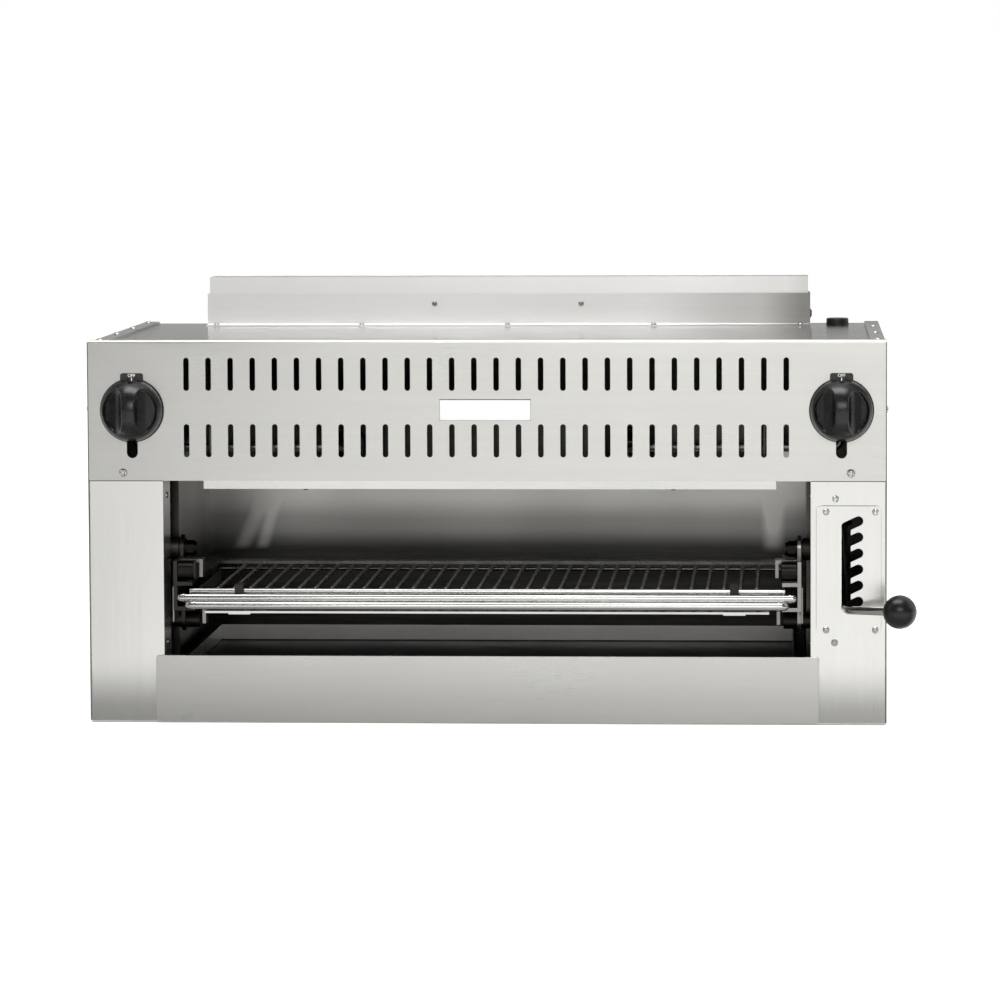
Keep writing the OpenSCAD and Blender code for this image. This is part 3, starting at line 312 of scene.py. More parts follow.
def graded(tree, axis, stops):
    """A grey ramp along one axis of the Object coordinates: stops are (millimetres, grey)."""
    parts = add(tree, "SeparateXYZ", {0: add(tree, "TexCoord").outputs["Object"]})
    (first, _), (last, _) = stops[0], stops[-1]
    share = between(tree, parts.outputs[axis], 0, 1, first * MM, last * MM)
    ramp = add(tree, "ValToRGB", {"Fac": share})
    ramp.color_ramp.interpolation = "EASE"
    while len(ramp.color_ramp.elements) < len(stops):
        ramp.color_ramp.elements.new(0.5)
    for element, (spot, grey) in zip(ramp.color_ramp.elements, stops):
        element.position, element.color = (spot - first) / (last - first), (grey, grey, grey, 1)
    return ramp.outputs["Color"]


def streak(tree, spot, lean, width):
    """One soft upright streak: 1 on the line x = spot + lean * z, in millimetres, 0 outside it."""
    parts = add(tree, "SeparateXYZ", {0: add(tree, "TexCoord").outputs["Object"]})
    x, z = parts.outputs[0], parts.outputs[2]
    drift = add(tree, "Math", {0: z, 1: -lean, 2: x}, operation="MULTIPLY_ADD")
    off = add(tree, "Math", {0: drift.outputs["Value"], 1: spot * MM}, operation="SUBTRACT")
    far = add(tree, "Math", {0: off.outputs["Value"]}, operation="ABSOLUTE")
    reach = {"From Min": width * MM, "From Max": 0.0, "To Min": 0.0, "To Max": 1.0}
    return add(
        tree,
        "MapRange",
        {"Value": far.outputs["Value"], **reach},
        interpolation_type="SMOOTHERSTEP",
    ).outputs["Result"]


# Millimetres along and across the grain, and across a cloudy patch
HAIRLINE, BELT_MARK, CLOUD = (40, 1), (300, 9), 140


def brushed(name, dark, light, rough, along="x", depth=0.02, aniso=0.6, grade=None, streaks=()):
    """Stainless sheet with a directional grain: fine hairlines, broader bands left by the belt,
    and cloudy patches where the grain is a little rougher. The real hairlines are about 0.05 mm
    apart, drawn at 1 mm so that they show. grade is an axis with its stops, and streaks are
    added to it; both run from dark, 0, to light, 1."""
    material, tree, shader = new_material(name, Metallic=1.0, Anisotropic=aniso)
    fine, wide = (
        [1 / (size[0] if axis == along else size[1]) for axis in "xyz"]
        for size in (HAIRLINE, BELT_MARK)
    )
    hair = pattern(tree, fine, 3.0, 0.2)
    band = pattern(tree, wide, 2.0, 5.1)
    cloud = pattern(tree, [1 / CLOUD] * 3, 3.0, 9.3)

    def combined(first, second, operation):
        return add(tree, "Math", {0: first, 1: second}, operation=operation).outputs["Value"]

    grains = combined(hair, band, "ADD")
    if grade:
        slight = between(tree, grains, -0.03, 0.03, 0.6, 1.4)
        tone = combined(graded(tree, *grade), slight, "ADD")
    else:
        tone = between(tree, grains, 0.0, 1.0, 0.6, 1.4)
    for spot, lean, width, fade in streaks:
        lit = combined(streak(tree, spot, lean, width), graded(tree, 2, fade), "MULTIPLY")
        tone = combined(tone, lit, "ADD")
    tree.links.new(tinted(tree, tone, dark, light), shader.inputs["Base Color"])
    cloudy = between(tree, cloud, rough - 0.02, rough + 0.03)
    rougher = combined(between(tree, hair, -0.015, 0.015), cloudy, "ADD")
    tree.links.new(rougher, shader.inputs["Roughness"])
    bump = add(tree, "Bump", {"Height": hair, "Strength": depth, "Distance": 0.00001})
    tree.links.new(bump.outputs["Normal"], shader.inputs["Normal"])
    across = add(
        tree,
        "VectorTransform",
        {"Vector": (1.0, 0.2, 0.0) if along == "z" else (0.0, 0.2, 1.0)},
        vector_type="VECTOR",
        convert_from="OBJECT",
        convert_to="WORLD",
    )
    tree.links.new(across.outputs["Vector"], shader.inputs["Tangent"])
    return material


def plain_metal(name, dark, light, rough, grain=3.0, depth=0.15, spread=0.08):
    """Metal without a direction: small mottling in colour and roughness, and a shallow bump."""
    material, tree, shader = new_material(name, Metallic=1.0)
    speck = pattern(tree, [1 / grain] * 3, 4.0, 1.7)
    cloud = pattern(tree, [1 / 35] * 3, 3.0, 4.4)
    colour = tinted(tree, between(tree, cloud, 0, 1), dark, light)
    tree.links.new(colour, shader.inputs["Base Color"])
    specks = between(tree, speck, rough - spread / 2, rough + spread / 2)
    tree.links.new(specks, shader.inputs["Roughness"])
    bump = add(tree, "Bump", {"Height": speck, "Strength": depth, "Distance": 0.00005})
    tree.links.new(bump.outputs["Normal"], shader.inputs["Normal"])
    return material


def moulded(name, dark, light, rough, grain, depth, **extra):
    """Plastic, paint or enamel: an even colour with slight clouding, fine orange peel in the
    bump, and a roughness that varies a little as on a handled surface."""
    material, tree, shader = new_material(name, **extra)
    peel = pattern(tree, [1 / grain] * 3, 2.0, 2.6)
    cloud = pattern(tree, [1 / 12] * 3, 4.0, 7.7)
    colour = tinted(tree, between(tree, cloud, 0, 1), dark, light)
    tree.links.new(colour, shader.inputs["Base Color"])
    tree.links.new(between(tree, cloud, rough - 0.03, rough + 0.04), shader.inputs["Roughness"])
    bump = add(tree, "Bump", {"Height": peel, "Strength": depth, "Distance": 0.0001})
    tree.links.new(bump.outputs["Normal"], shader.inputs["Normal"])
    return material


TILE_HOLE_PITCH = 3.2


def perforated_tile():
    """Cordierite burner tile: pale ceramic with rows of flame holes, 1.3 mm across and 2.6 mm
    apart, drawn at 3.2 mm so that they show."""
    material, tree, shader = new_material("cordierite burner tile, fired", Roughness=0.9)
    coords = add(tree, "TexCoord").outputs["Object"]
    cells = add(
        tree,
        "TexVoronoi",
        {"Vector": coords, "Scale": 1 / (TILE_HOLE_PITCH * MM), "Randomness": 0.0},
        voronoi_dimensions="2D",
    ).outputs["Distance"]
    # The holes are drawn in a dark colour, which is painted shade inside them
    hole = between(tree, cells, 1.0, 0.0, 0.22, 0.30)
    tree.links.new(tinted(tree, hole, "#D9CFBB", "#4A4038"), shader.inputs["Base Color"])
    bump = add(tree, "Bump", {"Height": cells, "Strength": 0.6, "Distance": 0.0005})
    tree.links.new(bump.outputs["Normal"], shader.inputs["Normal"])
    return material


front_steel = brushed(
    "stainless 430, number 4 brushed along the width", "#DAD9D5", "#DFDEDA", 0.30, "x"
)
panel_steel = brushed(
    "stainless front panel, number 4 brushed along the width", "#D4D3CF", "#DAD9D5", 0.30, "x"
)
lip_steel = brushed("stainless lip, bright brushed", "#EFEEEB", "#F2F1EE", 0.26, "x")
column_steel = brushed(
    "stainless 430, number 4 brushed upwards", "#E3E2DE", "#E8E7E4", 0.24, "z", 0.03, 0.8
)
side_steel = brushed(
    "stainless side panel, brushed along the depth", "#9B9A96", "#A5A4A0", 0.34, "y", 0.03, 0.5
)
# The tones that change along the sleeve, the riser and the liner stand for reflections in the
# photograph. They are fixed to the piece and are not a finish of the metal.
sleeve_steel = brushed(
    "stainless flue sleeve, brushed", "#CFCECA", "#FDFCFB", 0.42, "x", 0.04, 0.0,
    (0, [(-360, 1.0), (200, 0.95), (340, 0.7), (372, 0.3)]),
)
flue_steel = brushed(
    "stainless flue riser, toned darker at one end", "#908E8A", "#FDFCFB", 0.55, "x", 0.04, 0.0,
    (0, [(-372, 0.95), (-100, 1.0), (150, 0.95), (300, 0.6), (372, 0.1)]),
)
mirror_steel = brushed("stainless 430, bright annealed", "#B9B7B3", "#C0BEBA", 0.12, "x", 0.05, 0.2)
liner_steel = brushed(
    "stainless rear liner, toned darker towards the grid", "#2B2A27", "#F3F1ED", 0.34, "x", 0.05,
    0.85,
    (2, [(60, 0.0), (158, 0.04), (195, 0.52), (230, 1.0)]),
    [
        (-400.4, 0.45, 16, [(161, 0), (170, 0.55), (245, 0.25)]),
        (-345, 0.267, 13, [(161, 0), (170, 0.55), (245, 0.2)]),
        (327, 0.0, 19, [(158, 0), (172, 0.5), (205, 0.75), (245, 0.3)]),
    ],
)
# The tray floor's dark colour is painted shade of the cavity under the grid
floor_steel = brushed(
    "stainless tray floor, painted dark for shade", "#3B3A36", "#454440", 0.55, "x", 0.02, 0.3
)
tray_steel = brushed("stainless drip tray wall", "#DEDCD8", "#E6E4E0", 0.3, "x", 0.04, 0.3)
# The inner sheets' dark colour is painted shade: it stands for the dark inside of the cavity
painted_shade_steel = brushed("stainless inner sheet, painted dark for shade", "#4E4C48", "#5E5C58", 0.30, "x", 0.1, 0.3)
plate_steel = brushed(
    "stainless guide plate, fine brushed", "#E2E1DD", "#E7E6E3", 0.23, "z", 0.03, 0.8
)
# A machined, zinc-plated look: soft grey with fine specks
rail_steel = plain_metal("steel rail, nickel plated", "#8E8C87", "#A9A7A2", 0.30)
# A dark copy of the rail finish: on the left grid rail its dark tone is painted shade, and the
# right rail has the lit copy
dark_rail_steel = plain_metal("steel rail, dark", "#33312F", "#454340", 0.36)
forged_steel = plain_metal("steel arm, black oxide", "#3A3936", "#4A4845", 0.45, 2.0, 0.3)
oxide_black = plain_metal("steel nut, black oxide", "#242321", "#33312E", 0.35, 1.5, 0.2)
# Polished bars: nearly a mirror, with the slightest haze
chrome = plain_metal("steel bar, nickel-chrome plated", "#CFCECB", "#D8D7D5", 0.13, 8.0, 0.02, 0.02)
dulled_steel = plain_metal("aluminised burner, dull", "#4B4946", "#5C5A56", 0.5, 4.0, 0.2)
top_screw_steel = plain_metal("stainless screw head, dull", "#9C9A97", "#AFADAA", 0.2, 1.5, 0.1)
# The grid rods have a darker copy of the front bars' chrome: their dark tone is painted shade of
# the cavity they lie in
grid_chrome = plain_metal(
    "steel rod, nickel-chrome plated, painted dark for shade", "#5C5A57", "#74726E", 0.25, 6.0, 0.1, 0.1
)
screw_steel = plain_metal("stainless screw head, turned", "#DCDAD7", "#EFEDEB", 0.10, 1.5, 0.1)
aluminised = plain_metal("aluminised steel, spangled", "#94928E", "#9A9894", 0.42, 9.0, 0.2)
cast_iron = plain_metal("cast iron, dull", "#2F2D2B", "#433F3B", 0.65, 1.0, 0.6)
brass = plain_metal("brass, turned and tarnished", "#75602F", "#8C7440", 0.30, 4.0, 0.15)
tube_metal = plain_metal("aluminium tube, drawn, dull", "#6F6E6B", "#858481", 0.25, 5.0, 0.08)
pipe_steel = plain_metal("steel pipe, galvanised", "#7C7C79", "#979794", 0.48, 6.0, 0.3)
spring_steel = plain_metal("spring wire, oil tempered", "#55534F", "#706D68", 0.32, 2.0, 0.1)
knob_plastic = moulded(
    "phenolic knob, satin moulded", "#0D0D0D", "#131312", 0.26, 0.6, 0.08, IOR=1.5
)
ball_plastic = moulded("phenolic ball, polished", "#080808", "#0C0C0C", 0.33, 4.0, 0.04, IOR=1.5)
cap_plastic = moulded("black plastic cap, moulded", "#0D0D0D", "#161615", 0.4, 0.8, 0.2)
dial_enamel = moulded("dial plate, black enamel on steel", "#1D1C1B", "#292826", 0.42, 0.7, 0.15)
white_print = moulded("dial print, white ink", "#E9E8E4", "#F4F3F0", 0.55, 1.0, 0.05)
badge_enamel = moulded("badge plate, white enamel", "#E4E4E2", "#E9E9E7", 0.35, 5.0, 0.05)
# Thin drawn lines: the edge of the badge, and the shadow in a narrow joint
edge_and_shadow_line = moulded("dark line at an edge or a joint", "#3C3B39", "#4A4947", 0.4, 2.0, 0.05)
badge_grey = moulded("pale grey line at the badge edge", "#9B9A97", "#A9A8A5", 0.4, 2.0, 0.05)
burner_tile = perforated_tile()


# ---- Sheet metal: the CAD shapes with deburred edges -------------------------

SHEETS = {
    "louver_panel": (panel_steel, 0.4, "stainless"),
    "left_column": (column_steel, 0.3, "stainless"),
    "right_column": (column_steel, 0.3, "stainless"),
    "lever_guide_plate": (plate_steel, 0.5, "stainless"),
    "drip_tray_front": (front_steel, 0.4, "stainless"),
    "left_side_panel": (side_steel, 0.3, "stainless"),
    "right_side_panel": (side_steel, 0.3, "stainless"),
    "top_panel": (mirror_steel, 0.2, "stainless"),
    "back_panel": (aluminised, 0.3, "stainless"),
    "bottom_panel": (aluminised, 0.3, "stainless"),
    "flue_riser": (flue_steel, 0.3, "stainless"),
    "flue_sleeve": (sleeve_steel, 0.3, "stainless"),
    "side_liners": (painted_shade_steel, 0.2, "stainless"),
    "rear_liner": (liner_steel, 0.2, "stainless"),
    "heat_shield": (painted_shade_steel, 0.2, "stainless"),
    "tray_runners": (painted_shade_steel, 0.3, "stainless"),
    "left_grid_rail": (dark_rail_steel, 0.6, "stainless"),
    "right_grid_rail": (rail_steel, 0.6, "stainless"),
    "rail_straps": (rail_steel, 0.5, "stainless"),
    "carriage_cross_bar": (rail_steel, 0.5, "bright_steel"),
    "grid_front_strip": (chrome, 0.4, "bright_steel"),
    "dial_plates": (dial_enamel, 0.3, "gloss_black"),
    "name_badge": (badge_enamel, 0.3, None),
    "left_burner": (dulled_steel, 0.4, None),
    "right_burner": (dulled_steel, 0.4, None),
    "ceramic_tiles": (burner_tile, 0.4, "ceramic"),
    "burner_screens": (cast_iron, 0.3, None),
    "orifice_fittings": (brass, 0.3, "brass_parts"),
    "gas_manifold": (pipe_steel, 0.3, None),
    "gas_valves": (brass, 0.4, "brass_parts"),
    "burner_tubes": (tube_metal, 0.2, None),
    "pilot_tubes": (tube_metal, 0.2, None),
    "pilot_burners": (dulled_steel, 0.2, None),
    "gas_supply_pipe": (pipe_steel, 0.5, None),
    "inlet_cap": (cap_plastic, 0.0, "black_plastic"),
    "shaft_bearings": (aluminised, 0.5, None),
    "spring_anchors": (aluminised, 0.5, None),
    "lift_shaft": (rail_steel, 0.8, None),
    "left_lift_arm": (forged_steel, 0.6, "dark_steel"),
    "right_lift_arm": (forged_steel, 0.6, "dark_steel"),
    "pivot_nuts": (oxide_black, 0.6, "black_plastic"),
    "rail_spacers": (oxide_black, 0.8, "black_plastic"),
    "link_shaft": (rail_steel, 0.8, None),
    "lower_link_arms": (forged_steel, 0.6, "dark_steel"),
    "left_valve_stem": (brass, 0.4, None),
    "right_valve_stem": (brass, 0.4, None),
}
for node, (finish, edge, slot_name) in SHEETS.items():
    worked(node, finish, edge)
worked("burner_housing", lip_steel, 0.3, (painted_shade_steel, 280))
worked("drip_tray", floor_steel, 0.3, (tray_steel, 52))


# ---- Screws -------------------------------------------------------------------


def screw_head(dia, height, sides=40):
    """A domed head with a cross recess: height over the disc is the dome minus the recess, which
    is a cross of two tapering grooves that fades out at seven tenths of the radius."""
    radius = dia / 2
    ball = (height**2 + radius**2) / (2 * height)
    reach = np.linspace(0.04, 1.0, 12) * radius
    turn = np.linspace(0, 2 * math.pi, sides, endpoint=False)
    r, t = np.meshgrid(reach, turn, indexing="ij")
    x, y = r * np.cos(t), r * np.sin(t)
    dome = np.sqrt(ball**2 - r**2) - (ball - height)
    groove = 0.10 * dia
    arm = np.minimum(np.abs(x), np.abs(y))
    cut = np.clip(1.4 - arm / groove, 0, 1) * np.clip(3.2 * (0.62 - r / radius), 0, 1)
    z = dome - 0.7 * height * cut
    rings = np.stack([x, y, z], -1)[::-1]
    base = np.stack([x[-1], y[-1], np.full(sides, -0.2)], -1)[None]
    return tube_shape(np.vstack([base, rings]), [[0, 0, -0.2], [0, 0, z[0].mean()]])


# Turn of the first cross recess and from one screw to the next, in radians
FIRST_TURN, NEXT_TURN = 0.7, 2.399


def screw_set(places, up, dia, height):
    """One head at each place, each turned by its own angle as hand-driven screws are."""
    made = []
    for i, spot in enumerate(places):
        points, faces = screw_head(dia, height)
        turn = FIRST_TURN + NEXT_TURN * i
        cos, sin = math.cos(turn), math.sin(turn)
        spin = np.array([[cos, sin, 0], [-sin, cos, 0], [0, 0, 1]])
        made.append(turned((points @ spin, faces), spot, up))
    return made


SHANK_R = 2.4


def screw_shank(places, up, length):
    """The shank under each head."""
    down = unit(up) * length
    return [straight(np.asarray(p, float), np.asarray(p) - down, SHANK_R, 12, 0.4) for p in places]


# Heads as (diameter, height) and shanks' lengths, as the solids have them
LARGE, MEDIUM, SMALL, FLUE_HEAD, BOLT_HEAD = (10, 3), (8, 2.4), (7, 2.4), (8, 2.6), (12, 2.7)
LONG, MIDDLE, SHORT = 7, 5, 4
TOP_Z, FLANGE_Z, FLUE_Z = 435.6, 438.0, 436.8
flange_left = [(-448, d, FLANGE_Z) for d in (40, 170, 300, 430)]
flange_right = [(448, d, FLANGE_Z) for d in (45, 190, 335)]
front_edge = [((i - 2.5) * 164.8, 40, TOP_Z) for i in range(6)]
flue_flange = [(i * 180, 409, FLUE_Z) for i in range(-2, 3)]
flue_face = [(x, 416, 462.1) for x in (-90.5, 90.5)]
flue_bolt = [(372, 441, 449)]
piece(
    "top_screw_heads",
    screw_set(flange_left + flange_right + front_edge, UP, *LARGE)
    + screw_set(flue_flange, UP, *FLUE_HEAD)
    + screw_set(flue_face, FRONT, *SMALL)
    + screw_shank(flange_left + flange_right + front_edge + flue_flange, UP, LONG)
    + screw_shank(flue_face, FRONT, SHORT),
    "casing", top_screw_steel, ["top_screws"],
)
piece(
    "flue_side_bolt",
    screw_set(flue_bolt, RIGHT, *BOLT_HEAD) + screw_shank(flue_bolt, RIGHT, SHORT),
    "casing", oxide_black,
)
panel_screws = [(x, 0, 288.2) for x in (-416.3, 416.3)]
plate_screws = [(x, -3, z) for x in (388.1, 444.1) for z in (109.5, 244.5)]
column_screws = [(397.85, 0, 94.5), (398.85, 0, 259)]
return_left = [(-370.7, 30, z) for z in (90, 260)]
return_right = [(370.7, 30, z) for z in (90, 260)]
lip_screws = [(x, 64, 264.8) for x in (-213, 213)]
side_left, side_right = [(-457, 10, 360)], [(457, 10, 360)]
piece(
    "front_screw_heads",
    screw_set(panel_screws, FRONT, *LARGE)
    + screw_set(side_right, RIGHT, *LARGE)
    + screw_set(side_left, LEFT, *LARGE)
    + screw_set(plate_screws + column_screws, FRONT, *MEDIUM)
    + screw_set(return_left, RIGHT, *MEDIUM)
    + screw_set(return_right, LEFT, *MEDIUM)
    + screw_set(lip_screws, DOWN, *SMALL)
    + screw_shank(panel_screws + plate_screws + column_screws, FRONT, LONG)
    + screw_shank(side_right, RIGHT, LONG)
    + screw_shank(side_left, LEFT, LONG)
    + screw_shank(return_left, RIGHT, MIDDLE)
    + screw_shank(return_right, LEFT, MIDDLE)
    + screw_shank(lip_screws, DOWN, MIDDLE),
    "casing", screw_steel, ["front_screws"],
)

# ---- Knobs --------------------------------------------------------------------

KNOB_X, KNOB_Z, KNOB_D = 405.6, 360.0, -2.0
KNOB_R, KNOB_LEN, RIM = 35.5, 35.0, 9.0


def knob_shape():
    """A disc of polar rings. The front height is a dome less two scooped pockets: each pocket's
    floor is a vertical cylinder beside the ridge, and its wall eases in over a few millimetres
    inside a D-shaped outline. The outline radius dips at the pointer notch at the top."""
    near = np.linspace(-0.16, 0.16, 25)
    turn = np.concatenate([near, np.linspace(0.16, 2 * math.pi - 0.16, 151)[1:-1]])
    across = 4.0**2 - (KNOB_R - 0.5) ** 2 * np.sin(turn) ** 2
    notch = (KNOB_R - 0.5) * np.cos(turn) - np.sqrt(np.clip(across, 0, None))
    outline = np.where((across > 0) & (np.cos(turn) > 0), notch, KNOB_R)
    share = np.concatenate([np.linspace(0.02, 0.9, 56), np.linspace(0.91, 1.0, 10)])[::-1]
    r = share[:, None] * outline
    x, y = r * np.sin(turn), r * np.cos(turn)
    ball = ((KNOB_LEN - RIM / 2) ** 2 + KNOB_R**2) / (2 * (KNOB_LEN - RIM / 2))
    dome = KNOB_LEN - ball + np.sqrt(ball**2 - r**2)
    scoop = KNOB_R - 3
    ridge = 5.5 + 1.6 * (np.abs(y) / KNOB_R) ** 2
    reach = np.clip(np.abs(x) - (5.5 + scoop), -scoop, 0)
    floor = np.minimum(RIM + scoop - np.sqrt(scoop**2 - reach**2), dome)
    side, rim = np.abs(x) - ridge, scoop - 0.6 - np.hypot(x * 0.98, y)
    corner = 7.0
    inner = np.clip(corner - side, 0, None), np.clip(corner - rim, 0, None)
    inside = corner - np.hypot(*inner)
    wall = np.clip(inside / 4.5, 0, 1)
    height = dome - (dome - floor) * wall**2 * (3 - 2 * wall)
    front = np.stack([x, y, height], -1)

    def ring(scale, depth):
        edge = np.stack([outline * np.sin(turn) * scale, outline * np.cos(turn) * scale], -1)
        return np.concatenate([edge, np.full((len(turn), 1), depth)], -1)[None]

    def bore(radius, depth):
        edge = np.stack([radius * np.sin(turn), radius * np.cos(turn)], -1)
        return np.concatenate([edge, np.full((len(turn), 1), depth)], -1)[None]

    rings = np.vstack([bore(4.05, 12.2), bore(4.05, 0.0), ring(0.985, 0.0), ring(1.0, 0.6), front])
    points, faces = tube_shape(rings, [[0, 0, 12.2], [0, 0, height[-1].mean()]])
    return points, [face[::-1] for face in faces]


for side_name, sign in (("left", -1), ("right", 1)):
    points, faces = knob_shape()
    x, out, z = points[:, 0] + sign * KNOB_X, KNOB_D - points[:, 2], points[:, 1] + KNOB_Z
    piece(
        side_name + "_knob_grip", [(np.stack([x, out, z], -1), faces)], side_name + "_dial",
        knob_plastic, [side_name + "_knob"], smooth=50,
    )


def lettering(name, text, height, centre, material, body):
    """Flat print: the text becomes a mesh first, then its points are placed on the dial's face."""
    curve = bpy.data.curves.new(name, "FONT")
    curve.body, curve.align_x, curve.align_y = text, "CENTER", "CENTER"
    curve.size, curve.extrude, curve.offset = height * 1.38, 0.04, 0.05
    holder = bpy.data.objects.new(name + "_curve", curve)
    bpy.context.scene.collection.objects.link(holder)
    bpy.context.view_layer.update()
    ready = holder.evaluated_get(bpy.context.evaluated_depsgraph_get())
    mesh = bpy.data.meshes.new_from_object(ready)
    bpy.data.objects.remove(holder)
    flat = np.empty(len(mesh.vertices) * 3)
    mesh.vertices.foreach_get("co", flat)
    flat = flat.reshape(-1, 3)
    middle = (flat.max(0) + flat.min(0)) / 2
    x, z, out = (flat - middle).T
    spot = np.stack([centre[0] + x, centre[1] - out, centre[2] + z], -1)
    mesh.vertices.foreach_set("co", place(spot).ravel())
    return finished(name, mesh, body, material, (), 0.0, 30)


# The print on the dial plates: depth, height and middle of the word, and the tick under it
DIAL_FACE, WORD_H, WORD_Z, INK = -1.56, 3.6, 400.0, 0.04
TICK_HALF, TICK_Z = 0.55, (393.6, 397.3)
for side_name, sign in (("left", -1), ("right", 1)):
    x = sign * KNOB_X
    word_at = (x, DIAL_FACE, WORD_Z)
    lettering(side_name + "_off_print", "OFF", WORD_H, word_at, white_print, "casing")
    tick = block(
        (x - TICK_HALF, DIAL_FACE - INK, TICK_Z[0]), (x + TICK_HALF, DIAL_FACE + INK, TICK_Z[1])
    )
    piece(side_name + "_off_tick", [tick], "casing", white_print)

# ---- Badge border ---------------------------------------------------------------

badge_lo, badge_hi = (np.array(c) / MM + [0, HALF_DEPTH, 0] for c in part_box("name_badge"))
TOP_LINE, SIDE_LINE, LOW_LINE, INSET = 1.1, 0.8, 0.5, 0.15
left, right = badge_lo[0] + INSET, badge_hi[0] - INSET
low, high = badge_lo[2] + INSET, badge_hi[2] - INSET
near, far = -1.53, -1.47
top_line = block((left, near, high - TOP_LINE), (right, far, high))
piece("badge_top_edge", [top_line], "casing", edge_and_shadow_line)
side_lines = [
    block((left, near, low), (right, far, low + LOW_LINE)),
    block((left, near, low), (left + SIDE_LINE, far, high)),
    block((right - SIDE_LINE, near, low), (right, far, high)),
]
piece("badge_border", side_lines, "casing", badge_grey)

# Thin dark strips that stand for shadow, not parts of the unit: the joint between the front
# panel's hem and the columns, and the rounded corners
seam = block((371.0, -0.25, 278.35), (456.4, 0.3, 279.25))
corner = block((455.9, -0.1, 2.0), (457.0, 0.5, 437.5))
piece("panel_seams", both([seam, corner]), "casing", edge_and_shadow_line)
# The same for the shadow around the guide plate
GAP_X, GAP_Z, CORNER_R = (376.9, 450.8), (103.85, 251.45), 6.0
plate_gap = [
    block((GAP_X[0] + CORNER_R, -0.25, 250.6), (GAP_X[1] - CORNER_R, -0.05, GAP_Z[1])),
    block((GAP_X[0] + CORNER_R, -0.25, GAP_Z[0]), (GAP_X[1] - CORNER_R, -0.05, 104.4)),
    block((GAP_X[0], -0.25, GAP_Z[0] + CORNER_R), (377.5, -0.05, GAP_Z[1] - CORNER_R)),
    block((450.2, -0.25, GAP_Z[0] + CORNER_R), (GAP_X[1], -0.05, GAP_Z[1] - CORNER_R)),
]
piece("plate_gap", plate_gap, "casing", edge_and_shadow_line)

# ---- Lever and ball ---------------------------------------------------------------

PIVOT = np.array([410.9, 330.0, 205.89])
FALL = math.radians(11.988)
CORNER = np.array([410.9, -12.0, PIVOT[2] - 342 * math.tan(FALL)])
BALL = np.array([470.0, -75.0, 138.5])
# SEAT is how deep the rod goes into the ball
LEVER_R, BALL_R, LEVER_BEND, SEAT = 4.75, 19.0, 17.0, 6.0


def rounded_path(a, corner, b, radius, steps=14):
    """a to corner to b with the corner rounded: the arc's centre lies on the bisector, and its
    ends lie a tangent's length, radius * tan(half the turn), from the corner."""
    back, ahead = unit(np.subtract(a, corner)), unit(np.subtract(b, corner))
    half = math.acos(np.clip(np.dot(back, ahead), -1, 1)) / 2
    tangent = radius / math.tan(half)
    centre = corner + unit(back + ahead) * radius / math.sin(half)
    first, last = corner + back * tangent - centre, corner + ahead * tangent - centre
    turn = np.linspace(0, 1, steps)[:, None]
    span = math.acos(np.clip(np.dot(unit(first), unit(last)), -1, 1))
    arc = (np.sin((1 - turn) * span) * first + np.sin(turn * span) * last) / math.sin(span)
    return np.vstack([[a], centre + arc, [b]])


along_rod = unit(CORNER - PIVOT)
grip = BALL + unit(CORNER - BALL) * (BALL_R - SEAT)
lever_path = rounded_path(PIVOT + along_rod * 5, CORNER, grip, LEVER_BEND)
lever_plane = np.cross(along_rod, BALL - CORNER)
# The eye round the pivot pin: its outside and its bore are two open skins that share their rims,
# so the fans that would close them are left out
EYE_UP = np.array([-0.42262, -0.18825, 0.88654])
EYE_BORE, EYE_R, EYE_HALF, EYE_EDGE, EYE_SIDES = 3.05, 8.0, 5.5, 0.6, 40
rim = [(EYE_BORE, EYE_HALF), (EYE_R - EYE_EDGE, EYE_HALF), (EYE_R, EYE_HALF - EYE_EDGE)]
eye_profile = [(r, -z) for r, z in rim] + rim[::-1]
eye = turned(lathe(eye_profile, EYE_SIDES), PIVOT, EYE_UP)
bore = turned(lathe([(EYE_BORE, -EYE_HALF), (EYE_BORE, EYE_HALF)], EYE_SIDES), PIVOT, EYE_UP)
eye = (eye[0], [f for f in eye[1] if max(f) < len(eye_profile) * EYE_SIDES])
bore = (bore[0], [f[::-1] for f in bore[1] if max(f) < 2 * EYE_SIDES])
piece(
    "lever_bar", [sweep(lever_path, LEVER_R, lever_plane, 32), eye, bore], "lever", chrome,
    ["lever_rod"],
)
lean = unit(CORNER - BALL)
MOUTH, SOCKET_R = math.radians(18), 4.8
angle = np.linspace(MOUTH, math.pi, 40)[:-1]
ball_profile = [(SOCKET_R, BALL_R - SEAT), (SOCKET_R, BALL_R * math.cos(MOUTH))]
ball_profile += [(BALL_R * math.sin(a), BALL_R * math.cos(a)) for a in angle]
ball_points, ball_faces = turned(lathe(ball_profile, 64, (BALL_R - SEAT, -BALL_R)), BALL, lean)
piece(
    "ball_grip", [(ball_points, [f[::-1] for f in ball_faces])], "lever", ball_plastic,
    ["ball_knob"], smooth=50,
)

# ---- Grid ---------------------------------------------------------------------------

ROD_PITCH, ROD_R, ROD_Z, ROD_D = 2 * (338.6 - 29.2) / 33, 2.4, 153.5, (5, 264)
rod_x = (np.arange(34) - 16.5) * ROD_PITCH
rods = [straight((x, ROD_D[0], ROD_Z), (x, ROD_D[1], ROD_Z), ROD_R, 14, 0.7) for x in rod_x]
# The cross rods under them: the rear one, and the thicker front one
CROSS_X, REAR_D, REAR_Z, FRONT_D, FRONT_Z, FRONT_R = 342.1, 259, 150.8, 5, 151.575, 3.175
rods.append(straight((-CROSS_X, REAR_D, REAR_Z), (CROSS_X, REAR_D, REAR_Z), ROD_R, 16))
front_rod = straight((-CROSS_X, FRONT_D, FRONT_Z), (CROSS_X, FRONT_D, FRONT_Z), FRONT_R, 32)
piece("grid_front_rod", [front_rod], "grid", chrome)


